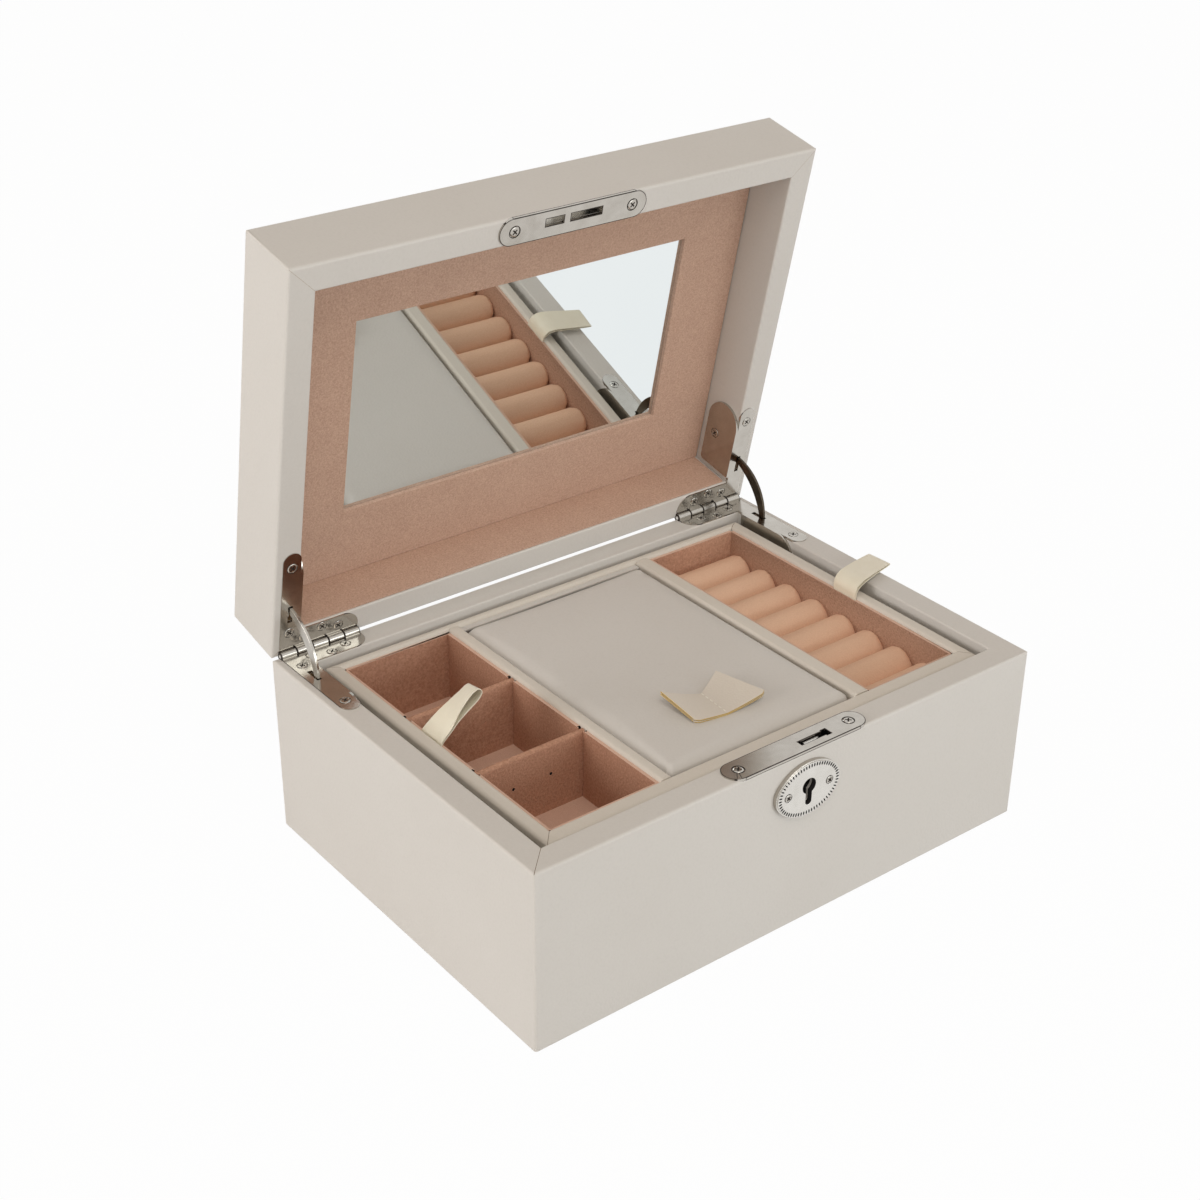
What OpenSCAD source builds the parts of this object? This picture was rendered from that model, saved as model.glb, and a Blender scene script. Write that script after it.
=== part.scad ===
// Vanity box with a mirror in its lid, a lift-out tray, quadrant hinges and a hook lock.
// Millimetres. Origin at the centre of the base's underside, +X right, -Y front, +Z up.
// The lid is drawn shut and then turned open about the hinge pins.

/* [Box] */
// Width over the skin
body_w = 260; // [250:1:300]
// Depth over the skin
body_d = 186; // [180:1:220]
// Height of the lower part
body_h = 83; // [80:1:100]
// Thickness of the leatherette skin
wrap_t = 1; // [0.9:0.05:1.3]
// Thickness of the wall boards
board_t = 10; // [9.5:0.25:12]
// Thickness of the bottom board
base_t = 5; // [3:0.5:7]
// Thickness of the felt under the base
felt_t = 0.6; // [0.4:0.1:1.2]
// Distance of the felt from the box's faces
felt_inset = 3; // [2:0.5:6]
// Rounding of the outer edges
edge_r = 1.3; // [1:0.1:3]
// Rounding of the inner edges of the rims
rim_r = 0.8; // [0.4:0.1:1]
// Width of the frame that the tray rests on
ledge_w = 9; // [8:0.5:12]
// Thickness of the pad on the lower compartment's floor
pad_t = 2; // [1:0.5:3]

/* [Lid] */
// Height of the lid over the skin
lid_h = 32; // [30:1:45]
// Thickness of the lid's top board
lid_top_t = 4; // [3:0.5:6]
// Gap between the rims when the lid is shut
closed_gap = 2; // [2:0.1:3]
// Angle of the open lid in degrees
open_angle = 78; // [70:1:85]

/* [Mirror] */
// Width of the mirror's window
window_w = 168; // [140:2:190]
// Height of the mirror's window
window_h = 93.5; // [80:0.5:110]
// How far the glass runs on behind its frame
glass_margin = 11; // [6:0.5:13]
// Thickness of the glass
glass_t = 2; // [1.5:0.1:3]
// Thickness of the frame in front of the glass
frame_lip_t = 2; // [1.5:0.1:3]
// Gap round the frame and the glass
frame_play = 0.4; // [0.2:0.1:0.8]
// Thickness of the lining strip on the lid's back wall
lining_t = 0.8; // [0.5:0.1:1.2]

/* [Hinges] */
// Thickness of the hinge leaves
leaf_t = 1.2; // [1:0.05:1.4]
// How far a leaf stands out of its rim
leaf_proud = 0.4; // [0.3:0.05:0.5]
// Distance of a leaf from the box's side and rear faces
leaf_inset = 3.5; // [3:0.1:4]
// Width of a leaf's rear arm
rear_arm_w = 8.2; // [7.5:0.1:8.5]
// Length of a leaf's rear arm
rear_arm_l = 38; // [34:0.5:46]
// Rounding at the rear arm's inner end
rear_arm_r = 7; // [5:0.5:7.5]
// Length of a leaf's side arm
side_arm_l = 50; // [48:0.5:60]
// Depth of the flange on the inner wall
flange_h = 20; // [18:0.5:21]
// Length of the flange
flange_l = 36; // [32:0.5:40]
// Gap between the flange and the rear wall
flange_gap = 3; // [2:0.5:5]
// Rounding of the flange's lower rear corner
flange_r = 2; // [1:0.5:4]
// Depth of the flange's screw below the leaf
flange_screw_z = 13.5; // [11:0.5:15]
// Radius of the knuckles
knuckle_r = 1.9; // [1.8:0.05:2]
// Number of knuckles on each hinge
knuckle_n = 5; // [3:2:7]
// Gap between two knuckles
knuckle_play = 0.2; // [0.15:0.05:0.4]
// Gap round the knuckles in the boards
groove_play = 0.4; // [0.35:0.05:0.6]
// Radius of the hinge pins
pin_r = 0.9; // [0.8:0.05:1]
// Radial gap between the pin and the moving knuckles
pin_play = 0.05; // [0.03:0.01:0.08]
// Distance of the pins' axis from the rear face
pin_inset = 1; // [0.8:0.1:1.2]

/* [Stays] */
// Radius of the stays' centre line about the pin
stay_r = 22; // [21:0.5:24]
// Width of the stays
stay_w = 5; // [4:0.25:5.5]
// Radius of the stays' flatter inner edge
stay_inner_r = 34; // [26:1:40]
// Thickness of the stays
stay_t = 1.2; // [1:0.1:1.5]
// Distance of the stays from the leaves' outer edges
stay_inset = 4.3; // [4:0.1:4.5]
// How far a stay's slot runs on behind the stay
slot_over = 2.5; // [1:0.25:4]
// How far the stays run past the leaves, in degrees
stay_over = 11.5; // [11:0.5:13]
// Length of the lugs along the arc, in degrees
lug_angle = 4; // [3:0.5:4]
// How far the lugs stand out at each side
lug_w = 1.2; // [0.8:0.1:1.3]
// Gap round the stays in slots and pockets
stay_play = 0.5; // [0.4:0.05:0.6]

/* [Screws] */
// Radius of the screw heads
head_r = 2.2; // [2:0.05:2.3]
// Height of the heads' countersunk cone
head_h = 1.1; // [0.9:0.05:1.15]
// Height of the heads' raised crown
crown_h = 0.2; // [0.1:0.05:0.3]
// Radius of the shanks
shank_r = 1.1; // [0.9:0.05:1.2]
// Length of the hinge and plate screws
screw_l = 8; // [6:0.5:8.5]
// Gap round the screws
screw_play = 0.05; // [0.03:0.01:0.1]
// Width of the cross recess
cross_w = 0.6; // [0.4:0.05:0.7]
// Width of the ring left open round a screw head
head_ring = 0.25; // [0.1:0.05:0.3]

/* [Lock] */
// Length of the lock plates
lock_plate_l = 73; // [70:0.5:80]
// Width of the lock plates
lock_plate_w = 12; // [11.5:0.1:12.5]
// Thickness of the lock plates
lock_plate_t = 1.5; // [1.3:0.05:1.6]
// How far the lock plates stand out of the rims
lock_plate_proud = 0.7; // [0.6:0.05:0.75]
// Distance between the lock plates' screws
lock_screw_pitch = 58.4; // [56:0.2:60]
// Place of the lower lock plate along the front
face_plate_x = 0.5; // [-1:0.5:1]
// Place of the lid's lock plate along the front
lid_plate_x = -0.5; // [-1:0.5:1]
// Place of the keyhole along the front
key_x = 2; // [1:0.5:3]
// Depth of the keyhole's round head below the rim
key_drop = 15; // [14:0.5:16]
// Radius of the keyhole's head
keyhole_r = 3.5; // [3:0.1:4]
// Width of the keyhole's slot
keyhole_w = 3.2; // [2.6:0.1:3.6]
// Length of the keyhole's slot below the head's centre
keyhole_l = 8.8; // [8:0.1:9.4]
// Length of the lock case
case_l = 38; // [36:0.5:42]
// Depth of the lock case into the front board
case_d = 7.5; // [7.5:0.1:7.8]
// Height of the lock case
case_h = 24; // [23:0.5:27]
// Wall of the lock case
case_t = 0.8; // [0.6:0.05:0.8]
// Thickness of the board in front of the lock case
case_cover = 1; // [0.8:0.1:1.2]
// Radius of the pin that the key turns on
key_pin_r = 1; // [0.8:0.1:1.2]
// Thickness of the hook
hook_t = 1.6; // [1.4:0.05:1.7]
// Width of the hook's shank
hook_w = 4.2; // [4:0.1:4.4]
// Length of the hook's nose beyond the shank
nose_l = 3.4; // [3:0.1:3.5]
// Height of the hook's nose
nose_h = 3; // [2.6:0.1:3.2]
// Length of the hook
hook_l = 20; // [19.5:0.1:20.3]
// Depth of the hook's top below the rim when the lock is open
hook_sunk = 0.3; // [0.2:0.1:1]
// Thickness of the carriage's plate
carriage_t = 1; // [0.8:0.05:1]
// Gap between the lock's moving parts
lock_play = 0.3; // [0.3:0.01:0.35]
// How far the carriage moves sideways
shift_travel = 3.6; // [3.2:0.1:3.8]
// How far the hook rises
rise_travel = 7; // [6.8:0.1:7.2]

/* [Escutcheon] */
// Half the length of the oval plate
oval_a = 17; // [16:0.25:18]
// Half the height of the oval plate
oval_b = 12.5; // [11:0.25:13]
// Radius of the oval's tight arcs
oval_r = 8.5; // [7.5:0.25:9]
// Thickness of the oval plate
oval_t = 2.4; // [1.6:0.1:2.6]
// Rounding of the oval plate's front edge
oval_edge = 0.5; // [0.3:0.1:0.7]
// Height of the oval's centre below the keyhole's head
oval_drop = 1.5; // [1:0.25:2]
// Distance of each oval plate screw from the keyhole
oval_screw_x = 11; // [10.5:0.1:11.5]
// Radius of the oval plate's screw heads
small_head_r = 1.7; // [1.5:0.05:1.8]

/* [Tray] */
// Height of the tray
tray_h = 37; // [34:0.5:39]
// Depth of the tray's rim below the box's rim
tray_drop = 3; // [2.5:0.5:5]
// Gap to the left of the tray
tray_left_play = 5; // [3:0.5:6]
// Gap to the right of the tray
tray_right_play = 3.5; // [3:0.5:6]
// Gap in front of the tray
tray_front_play = 3; // [2:0.5:4]
// Gap behind the tray
tray_back_play = 2; // [2:0.5:4]
// Thickness of the tray's left wall
tray_left_t = 6.5; // [6:0.25:8]
// Thickness of the tray's right wall
tray_right_t = 6; // [5.5:0.25:8]
// Thickness of the tray's front wall
tray_front_t = 7.5; // [6:0.25:9]
// Thickness of the tray's back wall
tray_back_t = 4; // [3.5:0.25:6]
// Thickness of the tray's floor
tray_floor_t = 2.5; // [2:0.25:4]
// Rounding of the tray's rims
tray_edge_r = 1.6; // [1:0.1:1.7]
// Thickness of the left rail
left_rail_t = 5.5; // [5:0.25:7]
// Thickness of the right rail
right_rail_t = 7.5; // [6:0.25:9]
// Width of the middle section between the rails
middle_w = 98; // [90:1:104]
// Place of the middle section's centre
middle_x = 1; // [-4:1:4]
// Thickness of the suede linings
liner_t = 1.5; // [1.2:0.1:2]
// Depth of the linings' rim below the tray's rim
liner_drop = 1.5; // [1:0.25:2.5]
// Thickness of the dividers
divider_t = 3; // [2.4:0.2:4]
// Gap round a divider in its notches
divider_play = 0.2; // [0.1:0.05:0.3]
// Place of the back divider's middle
back_divider_y = 27; // [20:1:34]
// Place of the front divider's middle
front_divider_y = -21.5; // [-28:1:-16]

/* [Ring section] */
// Number of padded rolls
roll_n = 8; // [6:1:10]
// Thickness of the bed under the rolls
bed_t = 3; // [2:0.5:4]
// Height of the rolls' top above the bed
roll_h = 20.7; // [18:0.5:23]
// Gap between two rolls
roll_play = 0.4; // [0.3:0.05:0.6]

/* [Inner lid] */
// Thickness of the padded inner lid
inner_lid_t = 6; // [5:0.25:7]
// Thickness of the board in the inner lid
inner_board_t = 3; // [2:0.25:4]
// Thickness of the cover at the inner lid's edges
cover_t = 1.2; // [1:0.1:1.6]
// Rounding of the inner lid's edges
inner_lid_r = 2; // [1:0.25:2.4]
// Gap at the inner lid's left and right edges
inner_lid_side_play = 0.4; // [0.3:0.1:0.8]
// Gap in front of the inner lid
inner_lid_front_play = 2; // [1:0.25:3]
// Length of the strip that the inner lid hangs on
strip_l = 3; // [2.5:0.25:4]
// Thickness of the strip
strip_t = 0.8; // [0.6:0.05:1]
// Gap between the inner lid and what is round it
inner_lid_play = 0.3; // [0.3:0.05:0.4]

/* [Ribbons and pull tab] */
// Width of the ribbons
ribbon_w = 14; // [12:0.5:18]
// Thickness of a ribbon's two plies
ribbon_t = 0.8; // [0.6:0.05:1]
// Length of ribbon tucked behind the lining
ribbon_tuck = 16; // [10:1:20]
// Place of the left ribbon's middle
left_ribbon_y = 9; // [6:1:12]
// How far the left ribbon reaches over the tray
left_loop_l = 18; // [10:1:24]
// How far the left ribbon stands out above the lining
left_loop_h = 18.5; // [10:0.5:20]
// Place of the right ribbon's middle
right_ribbon_y = -3.5; // [-5:0.5:3]
// How far the right ribbon reaches over the rim
right_loop_l = 26.5; // [20:0.5:30]
// How far the right ribbon stands out above the lining
right_loop_h = 7.5; // [6.5:0.5:10]
// Gap round the tucked end of a ribbon
ribbon_play = 0.15; // [0.1:0.05:0.3]
// Width of the pull tab
tab_w = 24; // [22:1:30]
// Thickness of the pull tab's two plies
tab_t = 1.6; // [1.2:0.1:2]
// Place of the pull tab's seam along the inner lid
tab_x = -2.5; // [-6:0.5:-1]
// Length of the pull tab's left flap
tab_left_l = 16; // [12:1:20]
// Length of the pull tab's right flap
tab_right_l = 19.5; // [14:0.5:24]
// How far the pull tab's ends curl up
tab_curl = 4; // [2:0.5:6]
// Distance of the pull tab's middle from the inner lid's front edge
tab_front = 29; // [24:1:36]

/* [Hidden] */
$fn = 64;
eps = 0.01;

// Rims, walls and boards
rim_t = board_t + 2 * wrap_t;
in_w = body_w - 2 * rim_t;
in_d = body_d - 2 * rim_t;
core_w = body_w - 2 * wrap_t;
core_d = body_d - 2 * wrap_t;
core_in_w = in_w + 2 * wrap_t;
core_in_d = in_d + 2 * wrap_t;
board_z = felt_t + base_t;
board_top = body_h - wrap_t;
lid_z = body_h + closed_gap;
lid_top = lid_z + lid_h;
lid_board_z = lid_z + wrap_t;
lid_ceiling = lid_top - wrap_t - lid_top_t;
recess_z = lid_ceiling - glass_t - frame_lip_t;

// Hinges
pin_y = body_d / 2 - pin_inset;
pin_z = body_h + closed_gap / 2;
leaf_z = body_h + leaf_proud - leaf_t;
leaf_x = body_w / 2 - leaf_inset;
leaf_y = body_d / 2 - leaf_inset;
arm_w = rim_t - leaf_inset;
arm_end = leaf_y - side_arm_l;
knuckle_l = (rear_arm_l - (knuckle_n - 1) * knuckle_play) / knuckle_n;
flange_y = in_d / 2 - flange_gap;
stay_x = leaf_x - stay_inset;
stay_half = open_angle / 2 + stay_over;
pocket_clearance = 3;
slot_depth = 4;
slot_y = pin_y - sqrt(stay_r * stay_r - pow(pin_z - leaf_z - leaf_t / 2, 2));

// Screws on the leaves: distance inwards from the leaf's outer corner along x and y
rear_screws = [for (q = [[0.3, 0.43], [0.53, 0.72], [0.74, 0.43]]) [q[0] * rear_arm_l, q[1] * rear_arm_w]];
side_screw = [arm_w / 2, side_arm_l - 0.88 * arm_w];
corner_screw = [arm_w / 2, arm_w];
flange_screw_y = flange_y - flange_l / 2;

// Lock
key_z = body_h - key_drop;
lock_y = -(body_d - lock_plate_w) / 2;
face_z = body_h + lock_plate_proud - lock_plate_t;
lid_face_z = lid_z - lock_plate_proud;
case_x = key_x - 16;
case_y = -core_d / 2 + case_cover;
carriage_y = case_y + case_t + lock_play;
hook_y = carriage_y + carriage_t + lock_play;
hook_x = key_x + 3;
hook_z = body_h - hook_sunk - hook_l;
slot_mid_y = hook_y + hook_t / 2;
slot_play = 0.6;
face_slot = [hook_x - 2.4, hook_x + hook_w + nose_l + shift_travel + 1.7];
lid_long_slot = [hook_x - 7.4, hook_x + hook_w + nose_l + slot_play];
lid_short_slot = [lid_long_slot[0] - 12.4, lid_long_slot[0] - 3.4];
carriage_z = hook_z - 2;
carriage_h = 16;
rail_w = 2.1;
rail_h = 6;

// Tray
tray_z = body_h - tray_drop - tray_h;
tray_top = tray_z + tray_h;
tray_x0 = -in_w / 2 + tray_left_play;
tray_x1 = in_w / 2 - tray_right_play;
tray_y0 = -in_d / 2 + tray_front_play;
tray_y1 = in_d / 2 - tray_back_play;
well_y0 = tray_y0 + tray_front_t;
well_y1 = tray_y1 - tray_back_t;
well_z = tray_z + tray_floor_t;
well_x0 = tray_x0 + tray_left_t;
well_x1 = tray_x1 - tray_right_t;
middle_x0 = middle_x - middle_w / 2;
middle_x1 = middle_x + middle_w / 2;
left_section = [well_x0, middle_x0 - left_rail_t];
ring_section = [middle_x1 + right_rail_t, well_x1];
middle_section = [middle_x0, middle_x1];
liner_top = tray_top - liner_drop;
inner_lid_z = tray_top - inner_lid_t;
bed_z = well_z + liner_t;
roll_z = bed_z + bed_t;
roll_y0 = well_y0 + liner_t;
roll_pitch = (well_y1 - well_y0 - 2 * liner_t) / roll_n;
roll_r = (roll_pitch - roll_play) / 2;
crease_y = well_y1 - strip_l;
inner_lid_x = [middle_x0 + inner_lid_side_play, middle_x1 - inner_lid_side_play];
inner_lid_y = [well_y0 + inner_lid_front_play, crease_y - inner_lid_play];
tab_y = inner_lid_y[0] + tab_front;
left_ribbon_x = well_x0 + ribbon_t / 2 + ribbon_play;
right_ribbon_x = well_x1 - ribbon_t / 2 - ribbon_play;

// Colours
leather_c = [0.80, 0.77, 0.72];
suede_c = [0.66, 0.54, 0.47];
roll_c = [0.80, 0.65, 0.55];
nickel_c = [0.78, 0.78, 0.78];
board_c = [0.70, 0.58, 0.42];
ribbon_c = [0.88, 0.86, 0.78];
felt_c = [0.55, 0.50, 0.45];

// ---- Shared shapes ----

// Turns a flat outline so that its x runs to the front, its y up and its thickness along X
module side_on(t) {
  rotate([90, 0, -90])
    linear_extrude(t, center = true)
      children();
}

// Rectangle that stands on the x axis with its top corners rounded
module dome_profile(w, h, r) {
  translate([-w / 2, 0])
    square([w, h - r]);
  translate([-w / 2 + r, 0])
    square([w - 2 * r, h]);
  for (s = [-1, 1])
    translate([s * (w / 2 - r), h - r])
      circle(r);
}

// Rectangle that stands on the x axis and flares out at its top, as the gap between rounded walls
module flare_profile(w, h, r) {
  translate([-w / 2, 0])
    square([w, h]);
  difference() {
    translate([-w / 2 - r, h - r])
      square([w + 2 * r, r]);
    for (s = [-1, 1])
      translate([s * (w / 2 + r), h - r])
        circle(r);
  }
  translate([-w / 2 - r, h])
    square([w + 2 * r, 1]);
}

// Centred rectangle with rounded corners
module soft_rect(w, d, r) {
  square([w - 2 * r, d], center = true);
  square([w, d - 2 * r], center = true);
  for (sx = [-1, 1], sy = [-1, 1])
    translate([sx * (w / 2 - r), sy * (d / 2 - r)])
      circle(r);
}

// Centred block on z = 0 with its upright and top edges rounded
module soft_block(w, d, h, r) {
  intersection() {
    rotate([90, 0, 0])
      linear_extrude(d, center = true)
        dome_profile(w, h, r);
    side_on(w)
      dome_profile(d, h, r);
    linear_extrude(h)
      soft_rect(w, d, r);
  }
}

// Centred well on z = 0 that flares out at its top
module soft_well(w, d, h, r) {
  intersection() {
    rotate([90, 0, 0])
      linear_extrude(d + 2 * r, center = true)
        flare_profile(w, h, r);
    side_on(w + 2 * r)
      flare_profile(d, h, r);
  }
}

// Block between two corners
module span(p, q) {
  translate(p)
    cube(q - p);
}

// Upright ring between two centred rectangles
module ring(w, d, in_w, in_d, h) {
  difference() {
    translate([-w / 2, -d / 2, 0])
      cube([w, d, h]);
    translate([-in_w / 2, -in_d / 2, -eps])
      cube([in_w, in_d, h + 2 * eps]);
  }
}

// Slot outline with full round ends
module stadium(l, w) {
  square([l - w, w], center = true);
  for (s = [-1, 1])
    translate([s * (l - w) / 2, 0])
      circle(w / 2);
}

// Sector of a ring about the origin, angles counted from the x axis
module sector(r0, r1, a0, a1) {
  far = 2 * r1;
  intersection() {
    difference() {
      circle(r1);
      circle(r0);
    }
    polygon(concat([[0, 0]], [for (i = [0:3]) let (a = a0 + (a1 - a0) * i / 3) far * [cos(a), sin(a)]]));
  }
}

// Band of even thickness along a smooth curve through the given points
function curve_point(p, i, t) =
  let (a = p[max(i - 1, 0)], b = p[i], c = p[i + 1], d = p[min(i + 2, len(p) - 1)])
  0.5 * (2 * b + (c - a) * t + (2 * a - 5 * b + 4 * c - d) * t * t + (3 * b - a - 3 * c + d) * t * t * t);
function curve(p, steps) =
  concat([for (i = [0:len(p) - 2], k = [0:steps - 1]) curve_point(p, i, k / steps)], [p[len(p) - 1]]);
function normal(q, i) =
  let (d = q[min(i + 1, len(q) - 1)] - q[max(i - 1, 0)])
  [-d[1], d[0]] / norm(d);
module band(points, t) {
  q = curve(points, 6);
  n = len(q) - 1;
  left = [for (i = [0:n]) q[i] + normal(q, i) * t / 2];
  right = [for (i = [n:-1:0]) q[i] - normal(q, i) * t / 2];
  polygon(concat(left, right));
}

// Turns the shut lid's pieces open about the pins
module opened() {
  translate([0, pin_y, pin_z])
    rotate([-open_angle, 0, 0])
      translate([0, -pin_y, -pin_z])
        children();
}

// Mirrors the lower leaf's pieces into the shut lid
module in_lid() {
  translate([0, 0, 2 * pin_z])
    mirror([0, 0, 1])
      children();
}

// Repeats right-hand pieces on the left
module both_sides() {
  children();
  mirror([1, 0, 0])
    children();
}

// ---- Screws ----

// Raised countersunk screw, the top of its cone at the origin and its tip down
module screw(l, r = head_r) {
  difference() {
    union() {
      cylinder(h = crown_h, r1 = r, r2 = 0.7 * r);
      translate([0, 0, -head_h])
        cylinder(h = head_h, r1 = shank_r, r2 = r);
      translate([0, 0, -l + shank_r])
        cylinder(h = l - shank_r - head_h, r = shank_r);
      translate([0, 0, -l])
        cylinder(h = shank_r, r1 = 0.2, r2 = shank_r);
    }
    for (a = [45, 135])
      rotate(a)
        translate([0, 0, crown_h])
          cube([1.2 * r, cross_w, 2 * crown_h + 0.6], center = true);
  }
}

// Room for a screw: countersink and pilot hole
module screw_room(l, r = head_r) {
  translate([0, 0, -head_h])
    cylinder(h = head_h, r1 = shank_r + screw_play, r2 = r + screw_play);
  translate([0, 0, -head_h / 4])
    cylinder(h = 1, r = r + head_ring);
  translate([0, 0, -l - screw_play])
    cylinder(h = l, r = shank_r + screw_play);
}

// Places a child at each screw of the right-hand lower leaf
module at_leaf_screws(with_corner) {
  places = concat(rear_screws, [side_screw], with_corner ? [corner_screw] : []);
  for (p = places)
    translate([leaf_x - p[0], leaf_y - p[1], leaf_z + leaf_t])
      children();
  translate([in_w / 2 - leaf_t, flange_screw_y, body_h + leaf_proud - flange_screw_z])
    rotate([0, -90, 0])
      children();
}

// Places a child at each screw of the hinges on one rim; the left hinge has one more at its corner
module at_hinge_screws() {
  at_leaf_screws(false)
    children();
  mirror([1, 0, 0])
    at_leaf_screws(true)
      children();
}

// Places a child at both screws of a lock plate whose face is at z
module at_lock_screws(x, z) {
  for (s = [-1, 1])
    translate([x + s * lock_screw_pitch / 2, lock_y, z])
      children();
}

module at_oval_screws() {
  for (s = [-1, 1])
    translate([key_x + s * oval_screw_x, -body_d / 2 - oval_t, oval_z()])
      rotate([90, 0, 0])
        children();
}

function oval_z() = key_z - oval_drop;

// ---- Hinges ----

// Outline of the right-hand leaf on the rim
module leaf_outline() {
  translate([leaf_x - arm_w, arm_end + arm_w / 2])
    square([arm_w, side_arm_l - arm_w / 2]);
  translate([leaf_x - arm_w / 2, arm_end + arm_w / 2])
    circle(arm_w / 2);
  translate([leaf_x - rear_arm_l + rear_arm_r, leaf_y - rear_arm_w])
    square([rear_arm_l - rear_arm_r, rear_arm_w]);
  intersection() {
    translate([leaf_x - rear_arm_l + rear_arm_r, leaf_y - rear_arm_w + rear_arm_r])
      circle(rear_arm_r);
    translate([leaf_x - rear_arm_l, leaf_y - rear_arm_w])
      square([rear_arm_r + eps, rear_arm_w]);
  }
  translate([leaf_x - rear_arm_l, leaf_y - rear_arm_w + rear_arm_r])
    square([rear_arm_r + eps, rear_arm_w - rear_arm_r]);
}

// Outline of the flange seen from the side, x to the front, y up
module flange_outline() {
  r = flange_h / 2;
  translate([0, -r])
    circle(r);
  translate([-flange_l + r, -flange_h + flange_r])
    square([flange_l - r, flange_h - flange_r]);
  translate([-flange_l + r + flange_r, -flange_h])
    square([flange_l - r - flange_r, flange_h]);
  translate([-flange_l + r + flange_r, -flange_h + flange_r])
    circle(flange_r);
}

// Along X: child number i of the row of knuckles
module at_knuckle(i) {
  translate([leaf_x - rear_arm_l + i * (knuckle_l + knuckle_play), pin_y, pin_z])
    rotate([0, 90, 0])
      children();
}

// Right-hand leaf in the lower rim, with every other knuckle from the first one given
module leaf(first, with_corner) {
  difference() {
    union() {
      translate([0, 0, leaf_z])
        linear_extrude(leaf_t)
          leaf_outline();
      translate([in_w / 2 - leaf_t, flange_y - flange_l + flange_h / 2, leaf_z])
        cube([leaf_t + 1, flange_l - flange_h / 2, leaf_t]);
      translate([in_w / 2 - leaf_t / 2, flange_y - flange_l + flange_h / 2, leaf_z + leaf_t])
        side_on(leaf_t)
          flange_outline();
      for (i = [first:2:knuckle_n - 1]) {
        at_knuckle(i)
          cylinder(h = knuckle_l, r = knuckle_r);
        translate([leaf_x - rear_arm_l + i * (knuckle_l + knuckle_play), leaf_y - 1, leaf_z])
          cube([knuckle_l, pin_y - leaf_y + 1, leaf_t]);
      }
    }
    translate([leaf_x - rear_arm_l - 1, pin_y, pin_z])
      rotate([0, 90, 0])
        cylinder(h = rear_arm_l + 2, r = pin_r + pin_play);
    stay_slot(leaf_z - 1, leaf_z + leaf_t + 1);
    at_leaf_screws(with_corner)
      screw_room(screw_l);
  }
}

// Room for both hinges in the lower rim's skin and boards: leaf, knuckles, stay and screws
module hinge_room() {
  both_sides() {
    translate([0, 0, leaf_z])
      linear_extrude(leaf_t)
        leaf_outline();
    translate([leaf_x - rear_arm_l - knuckle_play, pin_y, pin_z])
      rotate([0, 90, 0])
        cylinder(h = rear_arm_l + 2 * knuckle_play, r = knuckle_r + groove_play);
    translate([leaf_x - rear_arm_l, leaf_y - 1, leaf_z])
      cube([rear_arm_l, pin_y - leaf_y + 1, leaf_t]);
    stay_room();
  }
  at_hinge_screws()
    screw_room(screw_l);
}

// Upright slot for the right-hand stay between two heights
module stay_slot(z0, z1) {
  span([stay_x - stay_t / 2 - stay_play, slot_y - stay_w / 2 - stay_play, z0],
       [stay_x + stay_t / 2 + stay_play, slot_y + stay_w / 2 + stay_play + slot_over, z1]);
}

// Pocket that the right-hand stay swings in
module stay_room() {
  stay_slot(leaf_z - slot_depth, leaf_z + eps);
  reach = stay_half + pocket_clearance;
  half_w = stay_w / 2 + lug_w + stay_play;
  translate([stay_x, pin_y, pin_z])
    side_on(stay_t + 2 * stay_play)
      sector(stay_r - half_w, stay_r + half_w, -reach, 0);
}

// Right-hand stay at the open lid: a crescent with a lug at each end
module stay() {
  start_a = open_angle / 2 - stay_half;
  end_a = open_angle / 2 + stay_half;
  half_w = stay_w / 2 + lug_w;
  translate([stay_x, pin_y, pin_z])
    side_on(stay_t)
      difference() {
        sector(stay_r - half_w, stay_r + half_w, start_a, end_a);
        sector(stay_r + stay_w / 2, stay_r + 2 * half_w, start_a + lug_angle, end_a - lug_angle);
        intersection() {
          sector(stay_r - 2 * half_w, stay_r + stay_w, start_a + lug_angle, end_a - lug_angle);
          rotate(open_angle / 2)
            translate([stay_r - stay_w / 2 - stay_inner_r, 0])
              circle(stay_inner_r, $fn = 128);
        }
      }
}

module left_body_plate() color(nickel_c)
  mirror([1, 0, 0])
    leaf(0, true);

module right_body_plate() color(nickel_c)
  leaf(0, false);

module left_lid_plate() color(nickel_c)
  opened() in_lid()
    mirror([1, 0, 0])
      leaf(1, true);

module right_lid_plate() color(nickel_c)
  opened() in_lid()
    leaf(1, false);

module hinge_pins() color(nickel_c)
  both_sides()
    translate([leaf_x - rear_arm_l, pin_y, pin_z])
      rotate([0, 90, 0])
        cylinder(h = rear_arm_l, r = pin_r);

module left_stay() color(nickel_c)
  mirror([1, 0, 0])
    stay();

module right_stay() color(nickel_c)
  stay();

module body_screws() color(nickel_c) {
  at_hinge_screws()
    screw(screw_l);
  at_lock_screws(face_plate_x, face_z + lock_plate_t)
    screw(screw_l);
}

module lid_screws() color(nickel_c)
  opened() {
    in_lid()
      at_hinge_screws()
        screw(screw_l);
    at_lock_screws(lid_plate_x, lid_face_z)
      rotate([180, 0, 0])
        screw(screw_l);
  }

// ---- Lock ----

// Straight slot in a lock plate between two places along X
module plate_slot(ends, w) {
  translate([ends[0], slot_mid_y - w / 2, -1])
    cube([ends[1] - ends[0], w, lock_plate_t + 2]);
}

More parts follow.
